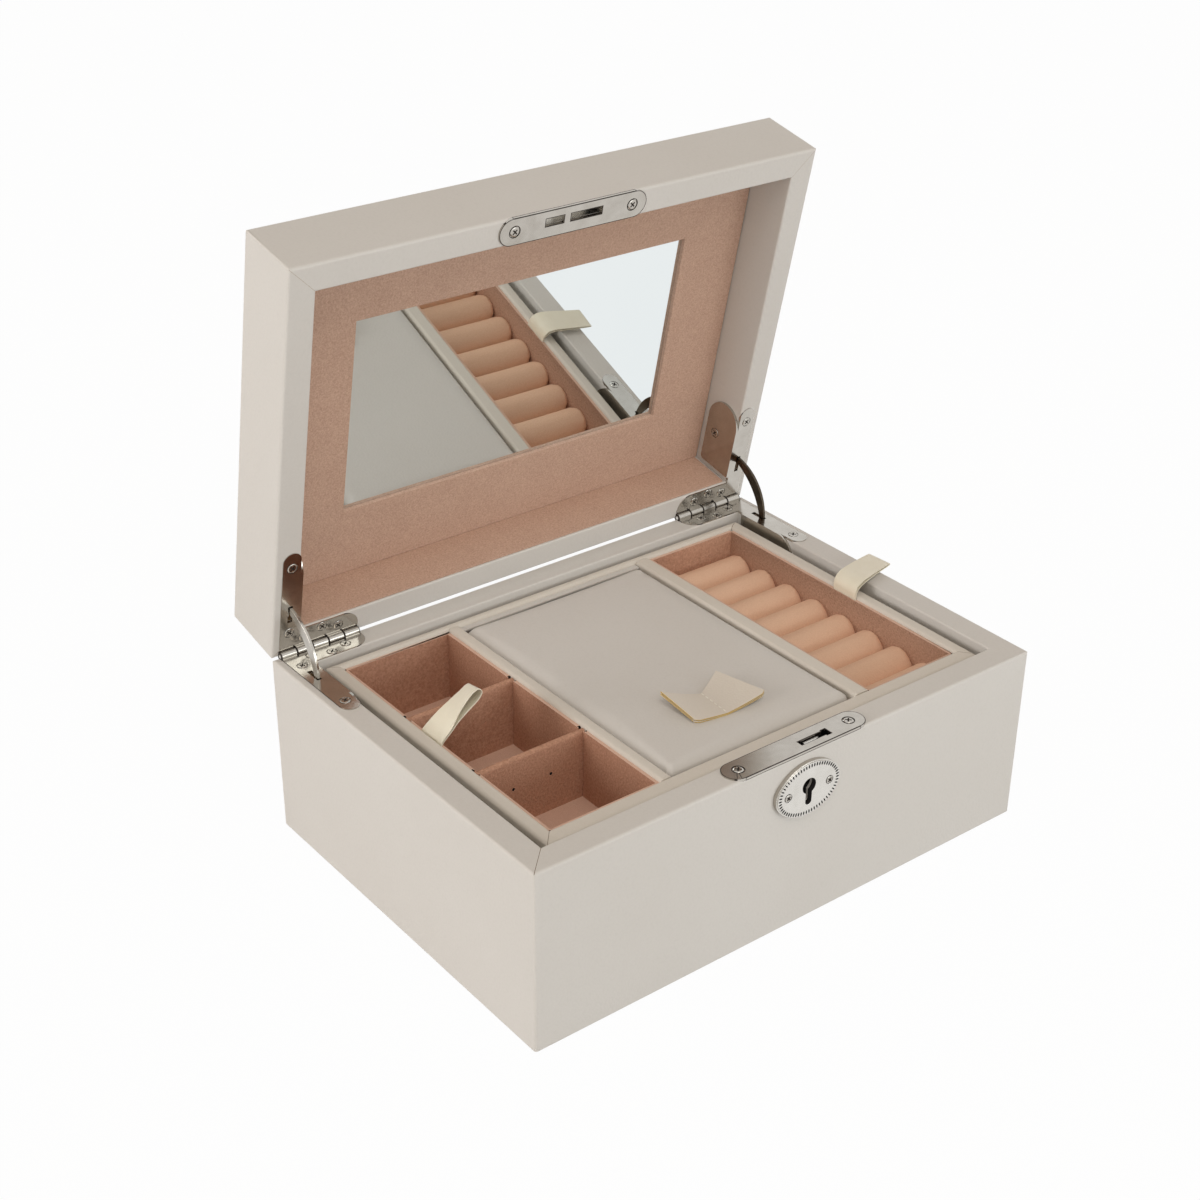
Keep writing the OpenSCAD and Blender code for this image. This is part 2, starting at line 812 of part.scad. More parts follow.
module lock_face_plate() color(nickel_c)
  translate([0, 0, face_z])
    difference() {
      linear_extrude(lock_plate_t)
        translate([face_plate_x, lock_y])
          stadium(lock_plate_l, lock_plate_w);
      plate_slot(face_slot, hook_t + 2 * slot_play);
      plate_slot([face_slot[1] - 2.4, face_slot[1]], hook_t + 4 * slot_play);
      at_lock_screws(face_plate_x, lock_plate_t)
        screw_room(screw_l);
    }

module lid_lock_plate() color(nickel_c)
  opened()
    translate([0, 0, lid_face_z])
      difference() {
        linear_extrude(lock_plate_t)
          translate([lid_plate_x, lock_y])
            stadium(lock_plate_l, lock_plate_w);
        plate_slot(lid_long_slot, hook_t + 3 * slot_play);
        plate_slot(lid_short_slot, hook_t + 3 * slot_play);
        at_lock_screws(lid_plate_x, 0)
          rotate([180, 0, 0])
            screw_room(screw_l);
      }

// Keyhole cut from the front to the given depth
module keyhole_room(depth) {
  translate([key_x, -body_d / 2 + depth, key_z])
    rotate([90, 0, 0])
      linear_extrude(depth + oval_t + 1) {
        circle(keyhole_r);
        translate([-keyhole_w / 2, -keyhole_l + keyhole_w / 2])
          square([keyhole_w, keyhole_l - keyhole_w / 2]);
        translate([0, -keyhole_l + keyhole_w / 2])
          circle(keyhole_w / 2);
      }
}

// Room for the lock in the front board and rim
module lock_room() {
  translate([0, 0, face_z])
    linear_extrude(lock_plate_t)
      translate([face_plate_x, lock_y])
        stadium(lock_plate_l, lock_plate_w);
  span([case_x, case_y, face_z - case_h], [case_x + case_l, case_y + case_d, face_z + eps]);
  keyhole_room(wrap_t + case_cover + eps);
  at_lock_screws(face_plate_x, face_z + lock_plate_t)
    screw_room(screw_l);
  at_oval_screws()
    screw_room(oval_screw_l(), small_head_r);
}

function oval_screw_l() = oval_t + wrap_t + case_cover;

module lock_case() color(nickel_c)
  difference() {
    span([case_x, case_y, face_z - case_h], [case_x + case_l, case_y + case_d, face_z]);
    span([case_x + case_t, case_y + case_t, face_z - case_h + case_t],
         [case_x + case_l - case_t, case_y + case_d - case_t, face_z + 1]);
    keyhole_room(wrap_t + case_cover + case_t + eps);
  }

module key_pin() color(nickel_c)
  translate([key_x, case_y + case_d - case_t, key_z])
    rotate([90, 0, 0])
      cylinder(h = case_d - case_t, r = key_pin_r);

module bolt_carriage() color(nickel_c)
  translate([0, carriage_y, 0]) {
    difference() {
      span([key_x - 14, 0, carriage_z], [key_x + 12, carriage_t, carriage_z + carriage_h]);
      span([key_x - key_pin_r - shift_travel - lock_play, -1, key_z - key_pin_r - 2],
           [key_x + key_pin_r + lock_play, carriage_t + 1, key_z + key_pin_r + 1.6]);
    }
    for (x = [hook_x - lock_play - rail_w, hook_x + hook_w + lock_play])
      span([x, carriage_t - eps, carriage_z + carriage_h - rail_h],
           [x + rail_w, carriage_t + lock_play + hook_t, carriage_z + carriage_h]);
  }

module hook_bolt() color(nickel_c)
  translate([hook_x, hook_y, hook_z]) {
    cube([hook_w, hook_t, hook_l]);
    difference() {
      translate([hook_w - eps, 0, hook_l - nose_h])
        cube([nose_l + eps, hook_t, nose_h]);
      translate([hook_w + nose_l, -1, hook_l])
        rotate([0, 45, 0])
          cube([1.6, hook_t + 2, 1.6], center = true);
    }
  }

module bolt_spring() color(nickel_c)
  span([case_x + case_t, carriage_y, carriage_z + carriage_h + lock_play],
       [key_x - 2, carriage_y + 3, carriage_z + carriage_h + 2 * lock_play]);

// Four-centred oval
module oval(a, b, r) {
  c = a - r;
  big = (c * c + b * b - r * r) / (2 * (b - r));
  k = big - b;
  join_x = c * big / (big - r);
  for (s = [-1, 1])
    translate([s * c, 0])
      circle(r);
  intersection() {
    translate([0, -k])
      circle(big, $fn = 128);
    translate([0, k])
      circle(big, $fn = 128);
    square([2 * join_x, 2 * b], center = true);
  }
}

module escutcheon() color(nickel_c)
  difference() {
    translate([key_x, -body_d / 2, oval_z()])
      rotate([90, 0, 0]) {
        linear_extrude(oval_t - oval_edge)
          oval(oval_a, oval_b, oval_r);
        linear_extrude(oval_t)
          oval(oval_a - oval_edge, oval_b - oval_edge, oval_r - oval_edge);
      }
    keyhole_room(0);
    at_oval_screws()
      screw_room(oval_screw_l(), small_head_r);
  }

module escutcheon_screws() color(nickel_c)
  at_oval_screws()
    screw(oval_screw_l(), small_head_r);

// ---- Box ----

module base_felt() color(felt_c)
  linear_extrude(felt_t)
    soft_rect(body_w - 2 * felt_inset, body_d - 2 * felt_inset, edge_r);

module base_board() color(board_c) {
  translate([-core_in_w / 2, -core_in_d / 2, felt_t])
    cube([core_in_w, core_in_d, base_t]);
  translate([-core_w / 2, -core_d / 2, felt_t + wrap_t])
    cube([core_w, core_d, base_t - wrap_t]);
}

module body_wrap() color(leather_c)
  difference() {
    translate([0, 0, felt_t])
      soft_block(body_w, body_d, body_h - felt_t, edge_r);
    translate([-core_in_w / 2, -core_in_d / 2, -1])
      cube([core_in_w, core_in_d, tray_z + 1]);
    translate([0, 0, tray_z - 1])
      soft_well(in_w, in_d, body_h - tray_z + 1, rim_r);
    translate([0, 0, felt_t + wrap_t])
      ring(core_w, core_d, core_in_w, core_in_d, board_top - felt_t - wrap_t);
    hinge_room();
    lock_room();
  }

// Mitred wall board along the side that faces the given direction
module wall_board(z0, z1, turn) {
  long = turn % 180 == 0;
  l = (long ? core_w : core_d) / 2;
  d = (long ? core_d : core_w) / 2;
  rotate([0, 0, turn])
    translate([0, 0, z0])
      linear_extrude(z1 - z0)
        polygon([[-l, -d], [l, -d], [l - board_t, -d + board_t], [-l + board_t, -d + board_t]]);
}

module front_board() color(board_c)
  difference() {
    wall_board(board_z, board_top, 0);
    lock_room();
  }

module right_board() color(board_c)
  difference() {
    wall_board(board_z, board_top, 90);
    hinge_room();
  }

module back_board() color(board_c)
  difference() {
    wall_board(board_z, board_top, 180);
    hinge_room();
  }

module left_board() color(board_c)
  difference() {
    wall_board(board_z, board_top, 270);
    hinge_room();
  }

module tray_ledge() color(suede_c)
  translate([0, 0, board_z])
    ring(core_in_w, core_in_d, core_in_w - 2 * ledge_w, core_in_d - 2 * ledge_w, tray_z - board_z);

module floor_pad() color(suede_c)
  translate([0, 0, board_z])
    linear_extrude(pad_t)
      square([core_in_w - 2 * ledge_w, core_in_d - 2 * ledge_w], center = true);

// ---- Lid, drawn shut ----

// Room in the lid's rim and front board for the lock plate and the hook
module lid_lock_room() {
  translate([0, 0, lid_face_z])
    linear_extrude(lock_plate_t)
      translate([lid_plate_x, lock_y])
        stadium(lock_plate_l, lock_plate_w);
  hook_top = hook_z + hook_l + rise_travel;
  span([lid_long_slot[0], slot_mid_y - hook_t / 2 - 1.5 * slot_play, lid_face_z],
       [lid_long_slot[1] + shift_travel + slot_play, slot_mid_y + hook_t / 2 + 1.5 * slot_play, hook_top + 1]);
  span([lid_short_slot[0], slot_mid_y - hook_t / 2 - 1.5 * slot_play, lid_face_z],
       [lid_short_slot[1], slot_mid_y + hook_t / 2 + 1.5 * slot_play, lid_face_z + 4]);
  at_lock_screws(lid_plate_x, lid_face_z)
    rotate([180, 0, 0])
      screw_room(screw_l);
}

module lid_wrap() color(leather_c)
  opened()
    difference() {
      intersection() {
        translate([0, 0, lid_z])
          soft_block(body_w, body_d, lid_h, edge_r);
        translate([0, 0, lid_top])
          mirror([0, 0, 1])
            soft_block(body_w, body_d, lid_h, edge_r);
      }
      translate([0, 0, lid_ceiling])
        mirror([0, 0, 1])
          soft_well(in_w, in_d, lid_ceiling - lid_z, rim_r);
      translate([0, 0, lid_board_z])
        ring(core_w, core_d, core_in_w, core_in_d, lid_ceiling - lid_board_z + eps);
      translate([-core_w / 2, -core_d / 2, lid_ceiling])
        cube([core_w, core_d, lid_top_t]);
      in_lid()
        hinge_room();
      lid_lock_room();
    }

module lid_wall(turn) {
  opened()
    difference() {
      wall_board(lid_board_z, lid_ceiling, turn);
      in_lid()
        hinge_room();
      if (turn == 0)
        lid_lock_room();
    }
}

module lid_front_board() color(board_c) lid_wall(0);
module lid_right_board() color(board_c) lid_wall(90);
module lid_back_board() color(board_c) lid_wall(180);
module lid_left_board() color(board_c) lid_wall(270);

module lid_top_board() color(board_c)
  opened()
    translate([-core_w / 2, -core_d / 2, lid_ceiling])
      cube([core_w, core_d, lid_top_t]);

module mirror_glass() {
  translate([0, 0, lid_ceiling - glass_t])
    linear_extrude(glass_t)
      square([window_w + 2 * glass_margin, window_h + 2 * glass_margin], center = true);
}

module mirror_frame() color(suede_c)
  opened()
    difference() {
      translate([0, 0, recess_z])
        linear_extrude(lid_ceiling - recess_z)
          square([in_w - 2 * frame_play, in_d - 2 * frame_play], center = true);
      translate([0, 0, recess_z - 1])
        linear_extrude(frame_lip_t + 2)
          square([window_w, window_h], center = true);
      translate([0, 0, recess_z + frame_lip_t])
        linear_extrude(glass_t + 1)
          square([window_w + 2 * (glass_margin + frame_play), window_h + 2 * (glass_margin + frame_play)],
                 center = true);
    }

module glass() color([0.75, 0.78, 0.8])
  opened()
    mirror_glass();

module lid_back_lining() color(suede_c)
  opened()
    span([-in_w / 2 + leaf_t + frame_play, in_d / 2 - lining_t, lid_z + wrap_t],
         [in_w / 2 - leaf_t - frame_play, in_d / 2, recess_z]);

// ---- Tray ----

module tray_floor() color(leather_c)
  span([well_x0, well_y0, tray_z], [well_x1, well_y1, well_z]);

module tray_frame() color(leather_c)
  difference() {
    translate([(tray_x0 + tray_x1) / 2, (tray_y0 + tray_y1) / 2, tray_z])
      soft_block(tray_x1 - tray_x0, tray_y1 - tray_y0, tray_h, tray_edge_r);
    translate([(well_x0 + well_x1) / 2, (well_y0 + well_y1) / 2, tray_z - 1])
      soft_well(well_x1 - well_x0, well_y1 - well_y0, tray_h + 1, tray_edge_r);
  }

// Bar across the tray between two places along X, its top edges rounded
module rail(x0, x1) {
  translate([(x0 + x1) / 2, (well_y0 + well_y1) / 2, well_z])
    rotate([90, 0, 0])
      linear_extrude(well_y1 - well_y0, center = true)
        dome_profile(x1 - x0, tray_top - well_z, tray_edge_r);
}

module left_rail() color(leather_c) rail(left_section[1], middle_section[0]);
module right_rail() color(leather_c) rail(middle_section[1], ring_section[0]);

// Open box that lines a section of the tray up to z
module liner(section, top) {
  difference() {
    span([section[0], well_y0, well_z], [section[1], well_y1, top]);
    span([section[0] + liner_t, well_y0 + liner_t, well_z + liner_t],
         [section[1] - liner_t, well_y1 - liner_t, top + 1]);
  }
}

// Groove behind a lining for the tucked end of a ribbon whose middle is at x and y
module ribbon_groove(x, y) {
  span([x - ribbon_t / 2 - ribbon_play, y - ribbon_w / 2 - ribbon_play, liner_top - ribbon_tuck - ribbon_play],
       [x + ribbon_t / 2 + ribbon_play, y + ribbon_w / 2 + ribbon_play, liner_top + 1]);
}

module left_liner() color(suede_c)
  difference() {
    liner(left_section, liner_top);
    for (y = [back_divider_y, front_divider_y])
      translate([left_section[0] - 1, y - divider_t / 2 - divider_play, well_z + liner_t])
        cube([left_section[1] - left_section[0] + 2, divider_t + 2 * divider_play, tray_h]);
    ribbon_groove(left_ribbon_x, left_ribbon_y);
  }

module center_liner() color(suede_c)
  liner(middle_section, inner_lid_z - inner_lid_play);

module ring_liner() color(suede_c)
  difference() {
    liner(ring_section, liner_top);
    ribbon_groove(right_ribbon_x, right_ribbon_y);
  }

// Divider with a round top, set in the left lining's notches
module divider(y) {
  x0 = left_section[0] + divider_play;
  x1 = left_section[1] - divider_play;
  translate([(x0 + x1) / 2, y, well_z + liner_t])
    side_on(x1 - x0)
      dome_profile(divider_t, liner_top - well_z - liner_t, divider_t / 2 - eps);
}

module back_divider() color(suede_c) divider(back_divider_y);
module front_divider() color(suede_c) divider(front_divider_y);

module ring_bed() color(suede_c)
  span([ring_section[0] + liner_t, roll_y0, bed_z],
       [ring_section[1] - liner_t, roll_y0 + roll_n * roll_pitch, roll_z]);

// Padded roll number i from the back, half round on top
module ring_roll(i) color(roll_c) {
  x0 = ring_section[0] + liner_t + roll_play / 2;
  x1 = ring_section[1] - liner_t - roll_play / 2;
  translate([(x0 + x1) / 2, roll_y0 + (roll_n - i + 0.5) * roll_pitch, roll_z])
    side_on(x1 - x0)
      dome_profile(2 * roll_r, roll_h, roll_r - eps);
}

// ---- Inner lid ----

module inner_lid_cover() color(leather_c) {
  w = inner_lid_x[1] - inner_lid_x[0];
  d = inner_lid_y[1] - inner_lid_y[0];
  translate([(inner_lid_x[0] + inner_lid_x[1]) / 2, (inner_lid_y[0] + inner_lid_y[1]) / 2, inner_lid_z])
    difference() {
      soft_block(w, d, inner_lid_t, inner_lid_r);
      translate([-w / 2 + cover_t, -d / 2 + cover_t, -1])
        cube([w - 2 * cover_t, d - 2 * cover_t, inner_board_t + 1]);
    }
}

module inner_lid_board() color(suede_c)
  span([inner_lid_x[0] + cover_t, inner_lid_y[0] + cover_t, inner_lid_z],
       [inner_lid_x[1] - cover_t, inner_lid_y[1] - cover_t, inner_lid_z + inner_board_t]);

// Strip from the back wall to the crease that the inner lid folds at
module inner_lid_hinge() color(leather_c) {
  top = tray_top - tray_edge_r;
  span([inner_lid_x[0], crease_y, top - strip_t], [inner_lid_x[1], well_y1, top]);
  span([inner_lid_x[0], well_y1 - strip_t, inner_lid_z], [inner_lid_x[1], well_y1, top]);
}

// Two-ply tab sewn along its middle, both ends curling up
module pull_tab() color(leather_c)
  translate([tab_x, tab_y, tray_top + tab_t / 2 + 0.015 * tab_curl + eps / 4])
    rotate([90, 0, 0])
      linear_extrude(tab_w, center = true)
        band([[-tab_left_l, tab_curl], [-0.6 * tab_left_l, 0.2 * tab_curl], [-0.2 * tab_left_l, 0], [0, 0],
              [0.2 * tab_right_l, 0], [0.6 * tab_right_l, 0.2 * tab_curl], [tab_right_l, 0.9 * tab_curl]],
             tab_t);

// ---- Ribbons ----

// Ribbon across Y that is tucked down at the origin and then follows a path of shares of l and h
module ribbon(path, l, h) {
  rotate([90, 0, 0])
    linear_extrude(ribbon_w, center = true)
      band(concat([[0, -ribbon_tuck], [0, -ribbon_tuck / 3], [0.004 * l, 0.06 * h]],
                  [for (q = path) [q[0] * l, q[1] * h]]),
           ribbon_t);
}

module left_ribbon() color(ribbon_c)
  translate([left_ribbon_x, left_ribbon_y, liner_top])
    ribbon([[0.1, 0.3], [0.35, 0.65], [0.75, 0.93], [1, 1]], left_loop_l, left_loop_h);

module right_ribbon() color(ribbon_c)
  translate([right_ribbon_x, right_ribbon_y, liner_top])
    ribbon([[0.03, 0.45], [0.1, 0.8], [0.25, 0.97], [0.6, 1], [1, 0.97]], right_loop_l, right_loop_h);

// ---- Every piece by name ----

base_felt();
base_board();
body_wrap();
front_board();
back_board();
left_board();
right_board();
tray_ledge();
floor_pad();
left_body_plate();
right_body_plate();
hinge_pins();
body_screws();
lock_face_plate();
lock_case();
key_pin();
bolt_spring();
bolt_carriage();
hook_bolt();
escutcheon();
escutcheon_screws();
lid_wrap();
lid_front_board();
lid_back_board();
lid_left_board();
lid_right_board();
lid_top_board();
glass();  // mirror
mirror_frame();
lid_back_lining();
left_lid_plate();
right_lid_plate();
lid_lock_plate();
lid_screws();
left_stay();
right_stay();
tray_floor();
tray_frame();
left_rail();
right_rail();
left_liner();
center_liner();
ring_liner();
back_divider();
front_divider();
ring_bed();
for (i = [1:roll_n])
  ring_roll(i);
left_ribbon();
right_ribbon();
inner_lid_board();
inner_lid_cover();
inner_lid_hinge();
pull_tab();
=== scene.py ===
"""Looks of a leatherette vanity box: mirror in its lid, lift-out tray, quadrant hinges and hook lock.

Everything is in metres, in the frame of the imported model: the origin is the centre of the base's
underside, +X is to the right, -Y to the front and +Z up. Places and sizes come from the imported
pieces wherever a piece seats on them.
"""

from __future__ import annotations

import logging
import math
from contextlib import contextmanager
from dataclasses import dataclass, field
from enum import Enum, IntEnum
from typing import Callable, Iterable, Iterator, Sequence

import bmesh
import bpy
import numpy as np
from mathutils import Matrix, Vector
from mathutils.bvhtree import BVHTree


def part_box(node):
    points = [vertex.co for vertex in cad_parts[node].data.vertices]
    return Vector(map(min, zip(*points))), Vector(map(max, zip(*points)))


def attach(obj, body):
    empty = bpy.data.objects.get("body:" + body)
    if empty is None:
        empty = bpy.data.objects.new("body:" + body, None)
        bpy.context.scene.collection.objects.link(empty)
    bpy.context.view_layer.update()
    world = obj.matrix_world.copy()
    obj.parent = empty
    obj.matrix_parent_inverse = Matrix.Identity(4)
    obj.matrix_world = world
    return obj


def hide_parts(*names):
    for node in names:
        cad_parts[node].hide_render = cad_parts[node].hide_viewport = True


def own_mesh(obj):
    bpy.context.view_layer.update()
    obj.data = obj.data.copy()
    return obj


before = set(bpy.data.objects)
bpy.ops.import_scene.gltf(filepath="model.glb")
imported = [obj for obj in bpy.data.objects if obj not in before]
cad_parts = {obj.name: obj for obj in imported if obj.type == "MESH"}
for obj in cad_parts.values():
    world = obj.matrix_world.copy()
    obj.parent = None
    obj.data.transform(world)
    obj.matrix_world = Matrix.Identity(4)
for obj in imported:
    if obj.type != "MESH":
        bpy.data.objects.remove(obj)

log = logging.getLogger("vanity_box")

MM = 0.001
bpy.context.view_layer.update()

Point = tuple[float, float, float]
Rgb = tuple[float, float, float]

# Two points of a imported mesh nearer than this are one, and two faces turned less than this are one
SAME_PLACE = 1e-6
SAME_PLANE = math.radians(0.5)
# Edges of dressed pieces that turn more than this many degrees are rounded
SHARP = 40.0
# Rings of directions in which a face looks for walls: tilt from its normal in degrees, and how many
RAY_RINGS = ((35, 5), (65, 8))
RAY_LIFT = 0.02 * MM
# How far a point of a marked strip may lie from the surface that it's parted off
ON_SURFACE = 0.01 * MM


class Mark(IntEnum):
    """Material slots of a piece's faces: its own finish, and those of its marked faces."""

    OWN = 0
    FIRST = 1
    SECOND = 2


class CutShape(Enum):
    """Forms of a small cut, each with the number of its corners."""

    NOTCH = 4
    HOLE = 12


# ---------------------------------------------------------------- small helpers


def srgb(red: int, green: int, blue: int) -> Rgb:
    """Turns a display colour into the linear one that shaders read.

    Args:
        red: display red, 0 to 255.
        green: display green, 0 to 255.
        blue: display blue, 0 to 255.

    Returns:
        The linear colour.
    """

    def channel(value: int) -> float:
        """Linear value of one channel."""
        share = value / 255
        return share / 12.92 if share <= 0.04045 else ((share + 0.055) / 1.055) ** 2.4

    return channel(red), channel(green), channel(blue)


def link_object(name: str, mesh: bpy.types.Mesh) -> bpy.types.Object:
    """Puts a mesh into the scene as a named object."""
    piece = bpy.data.objects.new(name, mesh)
    bpy.context.scene.collection.objects.link(piece)
    return piece


@contextmanager
def opened(mesh: bpy.types.Mesh) -> Iterator[bmesh.types.BMesh]:
    """Opens a mesh for changes, and writes them back at the end.

    Args:
        mesh: the mesh, which is changed.

    Yields:
        The mesh's points, edges and faces.
    """
    book = bmesh.new()
    book.from_mesh(mesh)
    yield book
    book.to_mesh(mesh)
    book.free()


def corners_of(places: Iterable[Sequence[float]]) -> tuple[Vector, Vector]:
    """Lowest and highest corner of the box round some places."""
    spans = list(zip(*places))
    return Vector([min(s) for s in spans]), Vector([max(s) for s in spans])


def shade_smooth(mesh: bpy.types.Mesh) -> None:
    """Shades every face of a mesh smooth."""
    mesh.polygons.foreach_set("use_smooth", [True] * len(mesh.polygons))


def turn_at(edge: bmesh.types.BMEdge) -> float:
    """Angle between an edge's two faces, or not a number where it hasn't two."""
    faces = edge.link_faces
    return faces[0].normal.angle(faces[1].normal, 0.0) if len(faces) == 2 else math.nan


def mesh_from(name: str, points: Sequence[Point], faces: Sequence[Sequence[int]]) -> bpy.types.Object:
    """Makes an object from points and faces, with its faces turned outwards.

    Args:
        name: the object's name.
        points: places of the vertices, in metres.
        faces: vertex numbers of each face.

    Returns:
        The new object.
    """
    mesh = bpy.data.meshes.new(name)
    mesh.from_pydata([tuple(p) for p in points], [], [tuple(f) for f in faces])
    with opened(mesh) as book:
        bmesh.ops.recalc_face_normals(book, faces=book.faces)
    return link_object(name, mesh)


def applied(piece: bpy.types.Object) -> bpy.types.Object:
    """Replaces a piece's mesh by its evaluated one and drops its modifiers."""
    graph = bpy.context.evaluated_depsgraph_get()
    mesh = bpy.data.meshes.new_from_object(piece.evaluated_get(graph), depsgraph=graph)
    mesh.name = piece.name
    piece.modifiers.clear()
    piece.data = mesh
    return piece


def smoothed(piece: bpy.types.Object, degrees: float = 35.0) -> bpy.types.Object:
    """Shades a piece smooth, with its edges above an angle kept sharp."""
    shade_smooth(piece.data)
    with opened(piece.data) as book:
        for edge in book.edges:
            edge.smooth = turn_at(edge) < math.radians(degrees)
    return piece


def softened(
    piece: bpy.types.Object, width: float, segments: int = 2, strip: int = -1
) -> bpy.types.Object:
    """Rounds a piece's sharp edges and leaves its flat faces flat.

    Args:
        piece: the piece to round, which is changed.
        width: width of the rounding, in metres.
        segments: faces across the rounding.
        strip: material slot of the roundings, -1 for that of the faces beside them.

    Returns:
        The same piece.
    """
    shade_smooth(piece.data)
    with opened(piece.data) as book:
        layers = book.edges.layers.float
        weight = layers.get("bevel_weight_edge") or layers.new("bevel_weight_edge")
        for edge in book.edges:
            edge[weight] = float(turn_at(edge) > math.radians(SHARP))
    bevel = piece.modifiers.new("soft_edges", "BEVEL")
    bevel.width = width
    bevel.segments = segments
    bevel.limit_method = "WEIGHT"
    bevel.use_clamp_overlap = True
    bevel.material = strip
    flat = piece.modifiers.new("flat_faces", "WEIGHTED_NORMAL")
    flat.mode = "FACE_AREA"
    flat.weight = 80
    return applied(piece)


def scored(
    piece: bpy.types.Object, at: Point, across: Point, along: Callable[[Vector], bool], width: float
) -> bpy.types.Object:
    """Parts off a fine strip of a piece's surface, where two ends of its covering meet.

    Args:
        piece: the piece, which is changed.
        at: a point of the seam's plane.
        across: normal of that plane.
        along: says whether a point of the surface lies on the seam's stretch.
        width: width of the seam, in metres.

    Returns:
        The same piece, the strip's faces in material slot 1.
    """
    middle, side = Vector(at), Vector(across).normalized()
    with opened(piece.data) as book:
        for shift in (-width / 2, width / 2):
            faces = [f for f in book.faces if any(along(v.co) for v in f.verts)]
            parts = list({g for f in faces for g in (*f.verts, *f.edges)}) + faces
            bmesh.ops.bisect_plane(book, geom=parts, dist=1e-7, plane_co=middle + side * shift, plane_no=side)
        for face in book.faces:
            centre = face.calc_center_median()
            if abs((centre - middle).dot(side)) < width / 2 and along(centre):
                face.material_index = Mark.FIRST
    return piece


@dataclass(frozen=True)
class Cut:
    """A small notch, or a round hole along Y: its middle, half sizes and form, in metres."""

    middle: Point
    half: Point
    shape: CutShape = CutShape.NOTCH

    def add_to(self, book: bmesh.types.BMesh) -> None:
        """Adds the form that is cut away."""
        place = Matrix.Translation(self.middle)
        if self.shape is CutShape.NOTCH:
            size = Matrix.Diagonal((*[2 * h for h in self.half], 1.0))
            bmesh.ops.create_cube(book, size=1.0, matrix=place @ size)
            return
        radius, depth = self.half[0], 2 * self.half[1]
        bmesh.ops.create_cone(
            book,
            cap_ends=True,
            segments=self.shape.value,
            radius1=radius,
            radius2=radius,
            depth=depth,
            matrix=place @ Matrix.Rotation(math.radians(90), 4, "X"),
        )


def carved(piece: bpy.types.Object, cuts: Sequence[Cut]) -> bpy.types.Object:
    """Cuts small notches and holes out of a piece, which is changed and returned."""
    mesh = bpy.data.meshes.new("cutter")
    with opened(mesh) as book:
        for one in cuts:
            one.add_to(book)
    cutter = link_object("cutter", mesh)
    cut = piece.modifiers.new("cut", "BOOLEAN")
    cut.operation = "DIFFERENCE"
    cut.solver = "EXACT"
    cut.use_self = True
    cut.object = cutter
    applied(piece)
    bpy.data.objects.remove(cutter)
    return piece


@dataclass(frozen=True)
class Filling:
    """How a padded form swells.

    The simulation runs on a form enlarged to furniture size, at which its forces behave.

    Attributes:
        voxel: size of its new faces, in metres.
        pressure: pressure of the filling.
        cap: how far a point may move, in metres.
        held: height above the form's underside that stays in place, in metres.
        enlarged: how many times the form is enlarged.
        moments: steps of the simulation.
        mass: mass of a point of the skin.
        tension: the skin's resistance to stretch.
        bending: the skin's resistance to folds.
    """

    voxel: float
    pressure: float
    cap: float
    held: float
    enlarged: float = 25.0
    moments: int = 20
    mass: float = 0.3
    tension: float = 18.0
    bending: float = 1.2

    def swell(self, piece: bpy.types.Object) -> bpy.types.Object:
        """Swells a closed form as its filling does, by a cloth simulation of its skin.

        Args:
            piece: the closed form, which is changed.

        Returns:
            The same piece.
        """
        for vert in piece.data.vertices:
            vert.co *= self.enlarged
        remesh = piece.modifiers.new("even_faces", "REMESH")
        remesh.mode = "VOXEL"
        remesh.voxel_size = self.voxel * self.enlarged
        remesh.use_smooth_shade = True
        applied(piece)
        skin = self.places(piece)
        self.simulate(piece, skin[:, 2])
        moved = self.places(piece) - skin
        reach = np.linalg.norm(moved, axis=1, keepdims=True)
        moved *= np.minimum(1.0, self.cap * self.enlarged / np.maximum(reach, 1e-9))
        skin = skin + moved
        piece.vertex_groups.clear()
        piece.data.vertices.foreach_set("co", (skin / self.enlarged).ravel())
        finer = piece.modifiers.new("finer", "SUBSURF")
        finer.levels = finer.render_levels = 1
        applied(piece)
        shade_smooth(piece.data)
        return piece

    @staticmethod
    def places(piece: bpy.types.Object) -> np.ndarray:
        """Places of a piece's points, one row for each."""
        flat = np.empty(len(piece.data.vertices) * 3)
        piece.data.vertices.foreach_get("co", flat)
        return flat.reshape(-1, 3)

    def simulate(self, piece: bpy.types.Object, heights: np.ndarray) -> None:
        """Runs the cloth simulation on an enlarged form, its lowest part held.

        Args:
            piece: the form, which is changed.
            heights: height of each of its points.
        """
        group = piece.vertex_groups.new(name="held")
        low = heights < heights.min() + self.held * self.enlarged
        group.add([int(i) for i in np.nonzero(low)[0]], 1.0, "REPLACE")
        cloth = piece.modifiers.new("filling", "CLOTH")
        cloth.settings.quality = 6
        cloth.settings.mass = self.mass
        cloth.settings.tension_stiffness = self.tension
        cloth.settings.compression_stiffness = self.tension
        cloth.settings.bending_stiffness = self.bending
        cloth.settings.use_pressure = True
        cloth.settings.uniform_pressure_force = self.pressure
        cloth.settings.effector_weights.gravity = 0.0
        cloth.settings.vertex_group_mass = "held"
        cloth.point_cache.frame_start = 1
        cloth.point_cache.frame_end = self.moments
        for moment in range(1, self.moments + 1):
            bpy.context.scene.frame_set(moment)
            bpy.context.view_layer.update()
        applied(piece)
        bpy.context.scene.frame_set(1)


